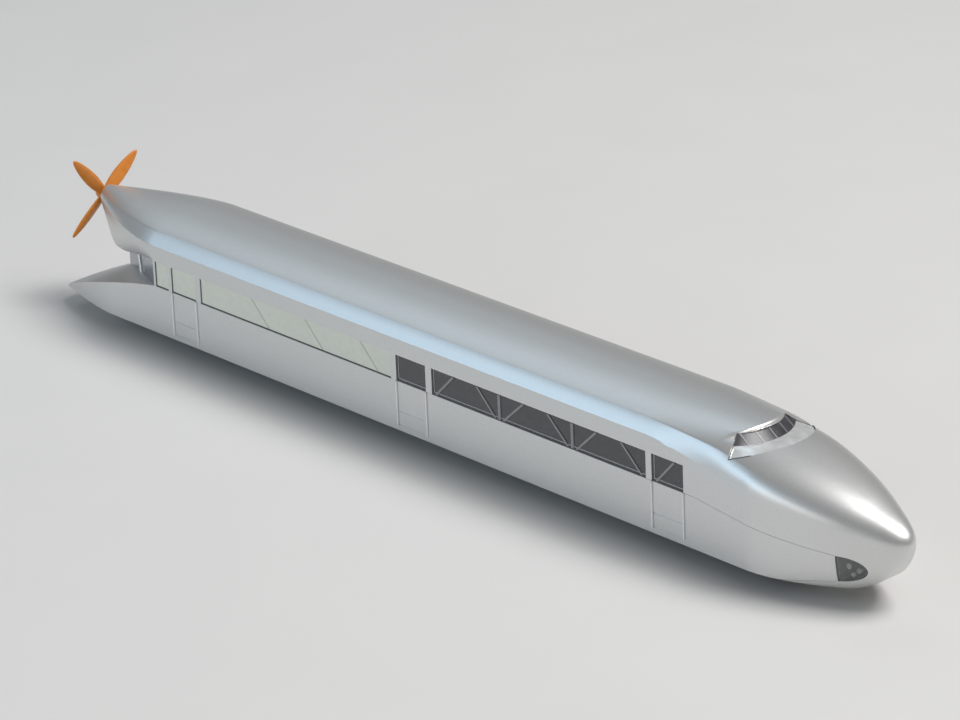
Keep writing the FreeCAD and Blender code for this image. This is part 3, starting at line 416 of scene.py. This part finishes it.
def flank_width(x, z):
    """Half width of the nose side at (x, z), below the shoulder."""
    w = nose_half_width(x)
    y_low = w * (1 - 0.93 * clamp01((x - NOSE_PLAN_X) / (NOSE_X - NOSE_PLAN_X)) ** 2.6)
    z_wide = shoulder_height(x)
    low = nose_bottom(x)
    turn = math.asin(clamp01((z_wide - z) / (z_wide - low)))
    return y_low + (w - y_low) * math.cos(turn)


# ------------------------------------------------------------ shading of cut shells
def skin_patch(rings, columns):
    """Open strip of a loft, kept as a reference for smooth shading."""
    points = [p for ring in rings for p in ring[columns[0]:columns[1]]]
    count = columns[1] - columns[0]
    faces = []
    for i in range(len(rings) - 1):
        for j in range(count - 1):
            a, b = i * count + j, (i + 1) * count + j
            faces.append((a, a + 1, b + 1, b))
    return points, faces


def reference_skin(patches):
    """Search tree, faces and smooth normals of several separate patches."""
    points, faces = [], []
    for patch_points, patch_faces in patches:
        start = len(points)
        points += patch_points
        faces += [tuple(start + k for k in face) for face in patch_faces]
    mesh = bpy.data.meshes.new("reference")
    mesh.from_pydata([tuple(p) for p in points], [], faces)
    mesh.update()
    normals = [v.normal.copy() for v in mesh.vertices]
    bpy.data.meshes.remove(mesh)
    return BVHTree.FromPolygons(points, faces), points, faces, normals


def shade_from(obj, reference, reach=0.02 * MM):
    """Smooth shading on what is left of the outer skin, flat shading elsewhere."""
    tree, points, faces, normals = reference
    work = bmesh.new()
    work.from_mesh(obj.data)
    bmesh.ops.dissolve_degenerate(work, edges=work.edges, dist=1e-8)
    bmesh.ops.triangulate(work, faces=work.faces)
    work.to_mesh(obj.data)
    work.free()
    mesh = obj.data
    shading = []
    for poly in mesh.polygons:
        poly.use_smooth = True
        where, _, index, distance = tree.find_nearest(poly.center)
        on_skin = distance is not None and distance < reach
        for corner in poly.loop_indices:
            normal = poly.normal
            if on_skin:
                spot = mesh.vertices[mesh.loops[corner].vertex_index].co
                hit, _, face_index, away = tree.find_nearest(spot)
                face = faces[face_index]
                weights = poly_3d_calc([points[k] for k in face], hit)
                blend = sum((normals[k] * s for k, s in zip(face, weights)), Vector())
                if blend.length > 0.1:
                    blend.normalize()
                    if blend.dot(poly.normal) < 0:
                        blend = -blend
                    if blend.dot(poly.normal) > 0.8:
                        normal = blend
            shading.append(normal.copy())
    mesh.normals_split_custom_set(shading)
    return obj


# ------------------------------------------------------------ materials
def node_material(name, base, variation, rough, metallic=0.0, grain=900.0, bump=0.0,
                  rough_spread=0.05, transmission=0.0, ior=1.46, coat=0.0, flake=0.0):
    """Principled material whose colour, roughness and relief vary with a fine grain."""
    mat = bpy.data.materials.new(name)
    mat.use_nodes = True
    nodes, links = mat.node_tree.nodes, mat.node_tree.links
    shader = nodes["Principled BSDF"]
    shader.inputs["Metallic"].default_value = metallic
    shader.inputs["IOR"].default_value = ior
    shader.inputs["Transmission Weight"].default_value = transmission
    shader.inputs["Coat Weight"].default_value = coat
    place = nodes.new("ShaderNodeTexCoord")
    noise = nodes.new("ShaderNodeTexNoise")
    noise.inputs["Scale"].default_value = grain
    noise.inputs["Detail"].default_value = 4.0
    links.new(place.outputs["Object"], noise.inputs["Vector"])
    colours = nodes.new("ShaderNodeValToRGB")
    colours.color_ramp.elements[0].position = 0.3
    colours.color_ramp.elements[1].position = 0.7
    colours.color_ramp.elements[0].color = [c * (1 - variation) for c in base] + [1]
    colours.color_ramp.elements[1].color = [min(c * (1 + variation), 1) for c in base] + [1]
    links.new(noise.outputs["Fac"], colours.inputs["Fac"])
    links.new(colours.outputs["Color"], shader.inputs["Base Color"])
    spread = nodes.new("ShaderNodeMapRange")
    spread.inputs["To Min"].default_value = max(rough - rough_spread, 0.02)
    spread.inputs["To Max"].default_value = rough + rough_spread
    links.new(noise.outputs["Fac"], spread.inputs["Value"])
    links.new(spread.outputs["Result"], shader.inputs["Roughness"])
    if bump or flake:
        relief = nodes.new("ShaderNodeBump")
        relief.inputs["Strength"].default_value = bump or flake
        relief.inputs["Distance"].default_value = 0.02 * MM
        if flake:
            cells = nodes.new("ShaderNodeTexVoronoi")
            cells.inputs["Scale"].default_value = 9000.0
            links.new(place.outputs["Object"], cells.inputs["Vector"])
            links.new(cells.outputs["Distance"], relief.inputs["Height"])
        else:
            links.new(noise.outputs["Fac"], relief.inputs["Height"])
        links.new(relief.outputs["Normal"], shader.inputs["Normal"])
    return mat


SILVER = node_material("silver_paint", (0.69, 0.695, 0.69), 0.03, 0.38, 0.80, 2600, 0.0,
                       0.04, flake=0.3)
TRIM = node_material("bright_trim", (0.93, 0.94, 0.94), 0.02, 0.3, 0.0, 1500, 0.03)
CREAM = node_material("cream_plastic", (0.74, 0.76, 0.67), 0.03, 0.42, 0.0, 700, 0.03)
GREY_LINE = node_material("grey_print", (0.29, 0.29, 0.29), 0.08, 0.5, 0.1, 900, 0.05)
# dark tint on the clear side glazing: painted shade standing in for the shaded interior seen
# through it
WINDOW = node_material("pane_painted_dark", (0.14, 0.14, 0.15), 0.1, 0.12, 0.0, 500, 0.0, 0.03,
                       transmission=0.6, coat=0.3)
CLEAR = node_material("clear_plastic", (0.75, 0.78, 0.79), 0.04, 0.1, 0.0, 500, 0.0, 0.03,
                      transmission=0.9)
STERN = node_material("stern_pane", (0.24, 0.27, 0.33), 0.08, 0.18, 0.1, 500, 0.0, 0.03,
                      transmission=0.3)
# bright grey for a clear plastic ledge: partly painted reflection, partly real reflections of the
# lamps
LEDGE = node_material("screen_ledge", (0.72, 0.73, 0.73), 0.12, 0.22, 0.45, 420, 0.1, 0.06)
AMBER = node_material("amber_plastic", (0.68, 0.235, 0.035), 0.07, 0.32, 0.0, 600, 0.03)
BLACK = node_material("black_plastic", (0.025, 0.025, 0.027), 0.15, 0.5, 0.0, 900, 0.08)
SEAT = node_material("seat_plastic", (0.24, 0.21, 0.19), 0.1, 0.55, 0.0, 900, 0.05)
DIECAST = node_material("diecast", (0.16, 0.16, 0.165), 0.12, 0.5, 0.7, 1200, 0.1)
STEEL = node_material("steel", (0.55, 0.55, 0.56), 0.05, 0.28, 1.0, 1800, 0.03)
DARK_STEEL = node_material("dark_steel", (0.03, 0.03, 0.033), 0.15, 0.42, 0.5, 1500, 0.06)
BRASS = node_material("brass", (0.62, 0.44, 0.16), 0.06, 0.3, 1.0, 1500, 0.03)
COPPER = node_material("copper", (0.70, 0.33, 0.18), 0.12, 0.35, 1.0, 2500, 0.15)
BOARD = node_material("board_green", (0.03, 0.14, 0.06), 0.2, 0.4, 0.0, 900, 0.08)
LAMP = node_material("lamp_white", (0.80, 0.80, 0.74), 0.04, 0.35, 0.0, 900, 0.03)
RUBBER = node_material("rubber", (0.015, 0.015, 0.016), 0.2, 0.75, 0.0, 1500, 0.15)
CARBON = node_material("carbon", (0.03, 0.03, 0.03), 0.25, 0.6, 0.1, 2000, 0.15)
# dark tint on the clear windscreen: painted shade standing in for the shaded space behind it
GLASS_DARK = node_material("screen_glass", (0.075, 0.075, 0.085), 0.2, 0.26, 0.0, 500, 0.0,
                           0.06, transmission=0.3)
SCREEN_BAR = node_material("screen_bar", (0.22, 0.22, 0.23), 0.15, 0.4, 0.2, 900, 0.05)
SHADOW_LINE = node_material("shadow_line", (0.10, 0.11, 0.105), 0.2, 0.6, 0.0, 900, 0.05)
# light grey lines inside the clear panes: painted highlight where the clear plastic's edge catches
# light
PANE_EDGE_GLINT = node_material("pane_edge_glint", (0.42, 0.43, 0.43), 0.08, 0.45, 0.1, 900, 0.05)
FAINT_LINE = node_material("faint_line", (0.55, 0.56, 0.50), 0.06, 0.5, 0.0, 900, 0.05)
LENS = node_material("lamp_lens", (0.80, 0.82, 0.83), 0.1, 0.08, 0.0, 1500, 0.1, 0.04,
                     transmission=0.93)

SLOT_LOOKS = {
    "silver_paint": SILVER, "bright_trim": TRIM, "clear_plastic": CLEAR,
    "cream_plastic": CREAM, "grey_print": GREY_LINE, "amber_plastic": AMBER,
    "black_plastic": BLACK, "seat_plastic": SEAT, "diecast": DIECAST, "steel": STEEL,
    "dark_steel": DARK_STEEL, "brass": BRASS, "copper": COPPER, "board_green": BOARD,
    "lamp_white": LAMP, "rubber": RUBBER, "carbon": CARBON,
}
NODE_LOOKS = {"side_glazing_left": WINDOW, "side_glazing_right": WINDOW,
              "stern_glazing": STERN, "window_truss": GREY_LINE}


def give(obj, material):
    obj.data.materials.clear()
    obj.data.materials.append(material)
    return obj


def dress_cad_nodes():
    """Every CAD node gets the look of its slot in the record."""
    for part in frame["record"]["subparts"]:
        give(frame["nodes"][part["node"]], SLOT_LOOKS[part["material_slot"]])
    for node, material in NODE_LOOKS.items():
        give(frame["nodes"][node], material)


# ------------------------------------------------------------ cutters shared by both shells
def window_cutters():
    spans = DOORS + [STERN_PANEL, BLANK_WINDOW, CLEAR_WINDOW]
    return [block("opening", a, b, -20 * MM, 20 * MM, SILL_Z, WINDOW_TOP_Z) for a, b in spans]


def lamp_cutter():
    half = (LAMP_HIGH_Z - LAMP_LOW_Z) / 2
    mid = (LAMP_HIGH_Z + LAMP_LOW_Z) / 2
    outline = []
    for i in range(33):
        t = math.pi * (0.5 - i / 32)
        x = LAMP_X + (LAMP_TIP_X - LAMP_X) * math.cos(t)
        z = mid + half * math.sin(t) - (mid - LAMP_TIP_Z) * math.cos(t)
        outline.append((x, z))
    return prism("lamp", outline, "Y", -20 * MM, 20 * MM)


def screen_pocket():
    """Space of the windscreen between the brow and the hood."""
    corner_x, corner_y = SCREEN_CORNER
    side_x, side_y = SCREEN_SIDE
    plan = [(side_x, -side_y), (corner_x, -corner_y), (120 * MM, -corner_y),
            (120 * MM, corner_y), (corner_x, corner_y), (side_x, side_y)]
    ledge_r, ledge_x, _ = SCREEN_LEDGE
    region = prism("pocket", plan, "Z", LEDGE_BED_Z, 36 * MM)
    combine(region, disc("ledge_disc", ledge_r, ledge_x, 27 * MM, 37 * MM), "INTERSECT")
    behind = disc("behind", SCREEN_TOP[0] - 1.1 * MM, SCREEN_TOP[1], 20 * MM, 40 * MM)
    cut(region, behind)
    brow = disc("brow", BROW_R, SCREEN_TOP[1], SCREEN_TOP[2], 40 * MM)
    return cut(region, brow)


def seam_prism():
    """Everything below the seam, with the gap that shows as a fine line."""
    outline = [(-160 * MM, SILL_Z), (SEAM_DROP_X, SILL_Z + SEAM_GAP),
               (LAMP_X, LAMP_HIGH_Z + SEAM_GAP), (LAMP_X, LAMP_LOW_Z - SEAM_GAP),
               (CHIN_X, SKIRT_Z - SEAM_GAP), (CHIN_X, -5 * MM), (-160 * MM, -5 * MM)]
    return prism("seam", outline, "Y", -20 * MM, 20 * MM)


# ------------------------------------------------------------ shells
def upper_shell():
    """Roof, window band, cone and nose in one smooth painted shell."""
    cone = [cone_ring(x) for x in cone_rows(CONE_END_X)]
    body = [straight_ring(TAIL_X + 0.01 * MM)]
    body += [nose_ring(x) for x in nose_stations(NOSE_X - 0.01 * MM)]
    shell = loft("upper_body", cone + body)
    count = len(cone[0])
    flank_points = 16
    sides = [(0, flank_points + 1), (count - flank_points - 1, count)]
    patches = [skin_patch(rows, columns) for rows in (cone, body) for columns in sides]
    patches.append(skin_patch(cone[:-1] + body, (flank_points - 1, count - flank_points + 1)))
    skin = reference_skin(patches)
    inner_x = 145.5 * MM
    hollow = [straight_ring(TAIL_X + MM, SHELL, -MM), straight_ring(NOSE_START_X, SHELL, -MM)]
    hollow += [nose_ring(x, SHELL) for x in stations(NOSE_START_X + 0.1 * MM, inner_x, 30, 1.4)]
    cut(shell, loft("hollow", hollow))
    hollow_tail = [cone_ring(x, SHELL) for x in cone_rows(-129 * MM)]
    cut(shell, loft("hollow_tail", hollow_tail))
    bore_outline = [(1.5 * MM * math.cos(t), 1.5 * MM * math.sin(t)) for t in
                    [2 * math.pi * i / 48 for i in range(48)]]
    bore = [[Vector((x, y, HUB.z + z)) for y, z in bore_outline] for x in (-143 * MM, -126 * MM)]
    cut(shell, loft("bore", bore))
    cut(shell, seam_prism())
    cut(shell, screen_pocket())
    for opening in window_cutters():
        cut(shell, opening)
    cut(shell, lamp_cutter())
    shade_from(shell, skin)
    give(shell, SILVER)
    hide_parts("upper_body_shell")
    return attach(shell, "car_body")


def lower_shell():
    """Skirts and bill below the seam."""
    bill = [lower_ring(x) for x in stations(TAIL_X, BILL_X, 40)][::-1]
    body = [lower_ring(TAIL_X + 0.01 * MM)]
    rows = [NOSE_START_X] + stations(SEAM_DROP_X, LAMP_X - SEAM_GAP, 44)
    body += [lower_ring(x) for x in rows]
    shell = loft("lower_body", bill + body)
    side = 13
    count = len(bill[0])
    patches = [skin_patch(rows_, cols) for rows_ in (bill, body)
               for cols in ((0, side), (count - side, count))]
    patches.append(skin_patch(bill, (side - 1, count - side + 1)))
    skin = reference_skin(patches)
    inner = HALF_WIDTH - SHELL
    plan = [(TAIL_X + MM, inner), (106 * MM, inner), (122.5 * MM, 12.2 * MM),
            (131 * MM, 8.4 * MM), (131 * MM, -8.4 * MM), (122.5 * MM, -12.2 * MM),
            (106 * MM, -inner), (TAIL_X + MM, -inner)]
    cut(shell, prism("well", plan, "Z", -MM, 30 * MM))
    cut(shell, block("rear_well", -128 * MM, TAIL_X + 2 * MM, -12.4 * MM, 12.4 * MM, -MM, 9 * MM))
    for a, b in DOORS:
        for z in (9.6 * MM, SKIRT_Z + 1.6 * MM):
            for y in (-HALF_WIDTH, HALF_WIDTH):
                cut(shell, block("line", a, b, y - 0.15 * MM, y + 0.15 * MM,
                                 z - 0.09 * MM, z + 0.09 * MM))
    shade_from(shell, skin)
    give(shell, SILVER)
    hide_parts("lower_body_shell")
    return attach(shell, "car_body")


# ------------------------------------------------------------ trim
def door_ribs():
    """Half-round raised ribs down both edges of every door."""
    pieces = []
    radius, proud = 0.26 * MM, 0.12 * MM
    for number, span in enumerate(DOORS):
        for end, x in zip(("rear", "front"), span):
            for side, name in ((-1, "right"), (1, "left")):
                rings = []
                for z, size in ((5.7, 0.3), (5.75, 0.8), (5.9, 1.0), (17.3, 1.0), (17.42, 0.8)):
                    ring = []
                    for i in range(16):
                        t = 2 * math.pi * i / 16
                        y = side * (HALF_WIDTH + proud + radius * size * math.sin(t) * 0.9)
                        ring.append(Vector((x + radius * size * math.cos(t), y, z * MM)))
                    rings.append(ring)
                rib = loft(f"door_rib_{number}_{end}_{name}", rings)
                for poly in rib.data.polygons:
                    poly.use_smooth = True
                give(rib, TRIM)
                pieces.append(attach(rib, "car_body"))
    for rib in pieces:
        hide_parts("door_handrails")
    return pieces


def screen_ring(spec, radius_less, reach, count=72):
    """Arc of one windscreen ring between its two ends, seen from above."""
    radius, centre, z = spec
    angles = [reach * (2 * i / count - 1) for i in range(count + 1)]
    return [Vector((centre + (radius - radius_less) * math.cos(t),
                    (radius - radius_less) * math.sin(t), z)) for t in angles]


def pocket_reach(spec):
    """Half angle at which a ring meets the slanted end of the pocket."""
    radius, centre, _ = spec
    side_x, side_y = SCREEN_SIDE
    dx, dy = SCREEN_CORNER[0] - side_x, SCREEN_CORNER[1] - side_y
    low, high = 0.0, math.pi / 2
    for _ in range(40):
        t = (low + high) / 2
        x, y = centre + radius * math.cos(t), radius * math.sin(t)
        beyond = dx * (y - side_y) - dy * (x - side_x)
        low, high = (low, t) if beyond > 0 else (t, high)
    return low


def band(name, upper_spec, lower_spec, less, thick):
    """Curved strip of a given thickness between two windscreen rings."""
    top_reach, low_reach = pocket_reach(upper_spec), pocket_reach(lower_spec)
    rows = [screen_ring(upper_spec, less, top_reach), screen_ring(lower_spec, less, low_reach),
            screen_ring(lower_spec, less + thick, low_reach),
            screen_ring(upper_spec, less + thick, top_reach)]
    rings = [[row[i] for row in rows] for i in range(len(rows[0]))]
    piece = loft(name, rings)
    for poly in piece.data.polygons:
        poly.use_smooth = True
    piece.data.set_sharp_from_angle(angle=math.radians(35))
    return piece


def ledge_ring(less, drop):
    """Front edge of the ledge, kept just under the skin around it."""
    ring = screen_ring(SCREEN_LEDGE, less, pocket_reach(SCREEN_LEDGE) - 0.004)
    for p in ring:
        p.z = min(SCREEN_LEDGE[2] + 0.2 * MM, skin_height(p.x, abs(p.y)) - drop)
    return ring


def screen_ledge():
    """Bright moulded slope in front of the glass, filling its pocket; its bright grey is partly
    painted reflection of the clear plastic, partly the lamps' real reflections.
    """
    foot = screen_ring(SCREEN_FOOT, 0.05 * MM, pocket_reach(SCREEN_FOOT) - 0.004)
    back = screen_ring(SCREEN_FOOT, 0.9 * MM, pocket_reach(SCREEN_FOOT) - 0.004)
    front = ledge_ring(0.12 * MM, LEDGE_GAP)
    middle = [mix(a, b, 0.5) + Vector((0, 0, 0.1 * MM)) for a, b in zip(foot, front)]
    bed = LEDGE_BED_Z + 0.1 * MM
    front_low = [Vector((p.x, p.y, min(bed, p.z - 0.05 * MM))) for p in front]
    back_low = [Vector((p.x, p.y, bed)) for p in back]
    rows = [foot, middle, front, front_low, back_low, back]
    piece = loft("windscreen_ledge", [[row[i] for row in rows] for i in range(len(foot))])
    for poly in piece.data.polygons:
        poly.use_smooth = True
    piece.data.set_sharp_from_angle(angle=math.radians(35))
    give(piece, LEDGE)
    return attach(piece, "car_body")


def screen_bar(name, angle, half, material, lift):
    """Thin upright bar on the glass, from its foot to its top."""
    rows = []
    for less in (-lift, 0.3 * MM):
        for spec in (SCREEN_FOOT, SCREEN_TOP):
            radius = spec[0] - less - 0.25 * MM
            for turn in (angle - half, angle + half):
                rows.append(Vector((spec[1] + radius * math.cos(turn),
                                    radius * math.sin(turn), spec[2])))
    faces = [(0, 1, 3, 2), (4, 5, 7, 6), (0, 1, 5, 4), (2, 3, 7, 6), (0, 2, 6, 4), (1, 3, 7, 5)]
    return give(fix_normals(make_object(name, rows, faces)), material)


def windscreen():
    """Leaning glass darkened as painted shade for the space behind it, with thin mullions, above
    the bright ledge.
    """
    glass = give(band("windscreen_glass", SCREEN_TOP, SCREEN_FOOT, 0.25 * MM, 0.8 * MM),
                 GLASS_DARK)
    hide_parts("windscreen")
    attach(glass, "car_body")
    screen_ledge()
    for k in range(-2, 3):
        bar = screen_bar(f"mullion_{k + 2}", math.radians(15 * k), 0.012, SCREEN_BAR, 0.1 * MM)
        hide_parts("windscreen_mullions")
        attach(bar, "car_body")


def screen_outline():
    """Thin dark line of painted shadow in the gap around the front and the ends of the ledge."""
    front = ledge_ring(0.0, -0.03 * MM)
    foot = screen_ring(SCREEN_FOOT, 0.0, pocket_reach(SCREEN_FOOT))
    top = screen_ring(SCREEN_TOP, 0.1 * MM, pocket_reach(SCREEN_TOP))
    path = [top[0], foot[0]] + front + [foot[-1], top[-1]]
    rings = []
    for i, p in enumerate(path):
        ahead = path[min(i + 1, len(path) - 1)] - path[max(i - 1, 0)]
        across = ahead.cross(Vector((0, 0, 1))).normalized()
        rise = across.cross(ahead).normalized()
        r = 0.11 * MM
        turns = [2 * math.pi * k / 8 for k in range(8)]
        rings.append([p + across * r * math.cos(t) + rise * r * math.sin(t) for t in turns])
    line = give(loft("windscreen_outline", rings), SHADOW_LINE)
    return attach(line, "car_body")


def pane_bar(side, x0, z0, x1, z1, width):
    """Flat thin bar lying on a window pane between two points given in X and Z."""
    dx, dz = x1 - x0, z1 - z0
    length = math.hypot(dx, dz)
    ox, oz = -dz / length * width / 2, dx / length * width / 2
    outline = [(x0 + ox, z0 + oz), (x1 + ox, z1 + oz), (x1 - ox, z1 - oz), (x0 - ox, z0 - oz)]
    low, high = sorted((side * (HALF_WIDTH - 0.36 * MM), side * (HALF_WIDTH - 0.22 * MM)))
    return prism("bar", outline, "Y", low, high)


def merge(name, parts, material):
    """One object out of several separate closed pieces."""
    work = bmesh.new()
    for part in parts:
        work.from_mesh(part.data)
        bpy.data.objects.remove(part)
    mesh = bpy.data.meshes.new(name)
    work.to_mesh(mesh)
    work.free()
    whole = bpy.data.objects.new(name, mesh)
    bpy.context.scene.collection.objects.link(whole)
    give(whole, material)
    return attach(whole, "car_body")


def pane_lines():
    """Painted shadow lines along the sills and the cream panes' rear edges, painted highlight
    lines inside the clear panes, and the faint bracing on the cream panes.
    """
    edge = 0.2 * MM
    clear = [DOORS[1], DOORS[2], CLEAR_WINDOW]
    cream = [STERN_PANEL, DOORS[0], BLANK_WINDOW]
    for side, name in ((-1, "right"), (1, "left")):
        # sill bars and the cream panes' rear-edge bars: painted shadow cast by the wall's edge
        # onto the panes
        sill_shades = [pane_bar(side, a, SILL_Z + 0.15 * MM, b, SILL_Z + 0.15 * MM, 0.3 * MM)
                 for a, b in clear + cream]
        sill_shades += [pane_bar(side, a + 0.1 * MM, SILL_Z, a + 0.1 * MM, WINDOW_TOP_Z, edge)
                  for a, b in cream]
        merge(f"sill_shade_lines_{name}", sill_shades, SHADOW_LINE)
        # lines along the clear panes' rear and lower inner edges: painted highlight, not real
        # frames
        edge_glints = []
        for a, b in clear:
            edge_glints.append(pane_bar(side, a + 0.7 * MM, SILL_Z + 0.8 * MM, a + 0.7 * MM,
                                   WINDOW_TOP_Z - 0.2 * MM, edge))
            edge_glints.append(pane_bar(side, a + 0.7 * MM, SILL_Z + 0.8 * MM, b - 0.2 * MM,
                                   SILL_Z + 0.8 * MM, edge))
        merge(f"pane_edge_glints_{name}", edge_glints, PANE_EDGE_GLINT)
        braces = []
        for x in (-64.0, -43.0, -22.0):
            braces.append(pane_bar(side, x * MM, WINDOW_TOP_Z - 0.1 * MM, (x + 6.5) * MM,
                                   SILL_Z + 0.4 * MM, 0.22 * MM))
        merge(f"faint_braces_{name}", braces, FAINT_LINE)


def lamp_beads():
    """Small bright lamp bodies seen through the headlight lenses."""
    for side, name in ((-1, "right"), (1, "left")):
        beads = []
        for x, z, r in ((136.0, 10.6, 0.75), (138.0, 9.6, 0.6), (136.6, 8.4, 0.5)):
            wall = flank_width(x * MM, z * MM) - 1.0 * MM
            rings = []
            for depth, share in ((0.0, 0.55), (0.12, 0.9), (0.3, 1.0), (0.8, 1.0), (0.9, 0.6)):
                turns = [2 * math.pi * i / 20 for i in range(20)]
                rings.append([Vector((x + r * share * math.cos(t), 0, z + r * share * math.sin(t)))
                              * MM + Vector((0, side * (wall - depth * MM), 0)) for t in turns])
            beads.append(loft("bead", rings))
        merge(f"lamp_beads_{name}", beads, LAMP)


def headlights():
    """Clear lens on each side of the nose, over a small lamp unit."""
    for side, name in ((-1, "right"), (1, "left")):
        lens = lamp_cutter()
        lens.name = f"headlight_lens_{name}"
        outer = [nose_ring(x) for x in stations(130 * MM, 145 * MM, 30)]
        combine(lens, loft("outer", outer), "INTERSECT")
        inner = [scaled_ring(ring, 0.7 * MM) for ring in outer]
        cut(lens, loft("inner", inner))
        half = block("half", 120 * MM, 150 * MM, -20 * MM, 20 * MM, 0, 30 * MM)
        half.location.y = side * 20.5 * MM
        bpy.context.view_layer.update()
        combine(lens, half, "INTERSECT")
        shade_from(lens, reference_skin([skin_patch(outer, (0, len(outer[0])))]))
        give(lens, LENS)
        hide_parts("headlight_" + name)
        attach(lens, "car_body")


def scaled_ring(ring, inset):
    """Ring pulled in towards its middle by about the inset."""
    middle = sum(ring, Vector()) / len(ring)
    out = []
    for p in ring:
        away = p - middle
        out.append(middle + away * max(1 - inset / max(away.length, inset * 2), 0.3))
    return out


# ------------------------------------------------------------ propeller
def propeller():
    """Four petal-shaped blades and a hub, moulded in one piece."""
    rows = [(0.9, 2.5, 1.5), (2.2, 2.8, 1.3), (4.0, 3.35, 1.15), (6.0, 3.6, 1.0),
            (8.2, 3.45, 0.9), (10.4, 3.0, 0.8), (12.2, 2.35, 0.7), (13.5, 1.7, 0.6),
            (14.3, 1.15, 0.5), (14.65, 0.7, 0.4), (14.78, 0.3, 0.3)]
    blades = []
    for number in range(BLADES):
        turn = math.radians(FIRST_BLADE_DEG + 360.0 / BLADES * number)
        rings = []
        for r, chord, thick in rows:
            pitch = math.radians(mix(ROOT_PITCH_DEG, TIP_PITCH_DEG, r / BLADE_REACH))
            ring = []
            for i in range(28):
                t = 2 * math.pi * i / 28
                a, b = chord / 2 * math.cos(t), thick / 2 * math.sin(t)
                along = a * math.sin(pitch) + b * math.cos(pitch)
                across = a * math.cos(pitch) - b * math.sin(pitch)
                y = across * math.cos(turn) - r * math.sin(turn)
                z = across * math.sin(turn) + r * math.cos(turn)
                ring.append(HUB + Vector((along * MM, y * MM, z * MM)))
            rings.append(ring)
        blades.append(loft("blade", rings))
    hub_rows = ((-1.2, 1.45), (-1.1, 1.62), (-0.9, 1.7), (1.1, 1.7), (1.25, 1.62), (1.3, 1.45))
    rings = []
    for x, r in hub_rows:
        ring = []
        for i in range(48):
            t = 2 * math.pi * i / 48
            ring.append(HUB + Vector((x, r * math.cos(t), r * math.sin(t))) * MM)
        rings.append(ring)
    whole = loft("propeller_moulding", rings)
    for blade in blades:
        combine(whole, blade, "UNION")
    for poly in whole.data.polygons:
        poly.use_smooth = True
    whole.data.set_sharp_from_angle(angle=math.radians(40))
    give(whole, AMBER)
    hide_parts("propeller")
    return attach(whole, "propeller_unit")


# ------------------------------------------------------------ studio
def floor():
    """Large pale table top."""
    size, middle = 2.4, 0.3
    points = [(middle - size, -size, 0), (middle + size, -size, 0),
              (middle + size, size, 0), (middle - size, size, 0)]
    top = make_object("table_top", points, [(0, 1, 2, 3)])
    give(top, node_material("table_paint", (0.68, 0.67, 0.655), 0.006, 0.6, 0.0, 30, 0.0))


def area_light(name, azimuth, elevation, distance, width, height, power, colour):
    """Rectangular soft light aimed at the middle of the car."""
    a, e = math.radians(azimuth), math.radians(elevation)
    away = Vector((math.cos(a) * math.cos(e), math.sin(a) * math.cos(e), math.sin(e)))
    lamp = bpy.data.lights.new(name, "AREA")
    lamp.shape = "RECTANGLE"
    lamp.size, lamp.size_y = width, height
    lamp.energy = power
    lamp.color = colour
    obj = bpy.data.objects.new(name, lamp)
    obj.location = away * distance
    obj.rotation_mode = "QUATERNION"
    obj.rotation_quaternion = (-away).to_track_quat("-Z", "Y")
    bpy.context.scene.collection.objects.link(obj)
    return obj


def studio():
    world = bpy.data.worlds.new("room")
    world.use_nodes = True
    world.node_tree.nodes["Background"].inputs["Color"].default_value = (0.88, 0.88, 0.87, 1)
    world.node_tree.nodes["Background"].inputs["Strength"].default_value = 0.22
    bpy.context.scene.world = world
    bpy.context.scene.view_settings.view_transform = "Standard"
    area_light("key", 40, 59, 1.7, 0.8, 0.8, 26.0, (1.0, 0.985, 0.975))
    area_light("low_window", 237, 25, 1.1, 0.9, 0.4, 2.3, (0.56, 0.79, 1.0))
    area_light("high_window", 150, 45, 1.1, 0.6, 0.45, 0.8, (0.70, 0.87, 1.0))
    area_light("side_fill", 266, 13, 1.0, 0.6, 0.35, 0.95, (1.0, 0.995, 0.98))
    area_light("nose_glow", -12, 42, 0.9, 0.3, 0.3, 0.2, (1.0, 1.0, 1.0))


def camera():
    """Long lens from above the nose's right side, level turned slightly."""
    azimuth = math.radians(CAMERA_AZIMUTH)
    elevation = math.radians(CAMERA_ELEVATION)
    roll = math.radians(CAMERA_ROLL)
    back = Vector((math.sin(azimuth) * math.cos(elevation),
                   -math.cos(azimuth) * math.cos(elevation), math.sin(elevation)))
    level = Vector((math.cos(azimuth), math.sin(azimuth), 0))
    up = back.cross(level)
    right = level * math.cos(roll) + up * math.sin(roll)
    true_up = up * math.cos(roll) - level * math.sin(roll)
    data = bpy.data.cameras.new("camera")
    data.lens = CAMERA_LENS
    data.sensor_width = CAMERA_SENSOR
    data.clip_start, data.clip_end = 0.05, 20
    obj = bpy.data.objects.new("camera", data)
    target = Vector((5.6, 0, 22.2)) * MM
    turn = Matrix((right, true_up, back)).transposed().to_4x4()
    obj.matrix_world = Matrix.Translation(target + back * CAMERA_DISTANCE) @ turn
    bpy.context.scene.collection.objects.link(obj)
    bpy.context.scene.camera = obj


dress_cad_nodes()
upper_shell()
lower_shell()
door_ribs()
windscreen()
screen_outline()
pane_lines()
lamp_beads()
headlights()
propeller()
floor()
studio()
camera()
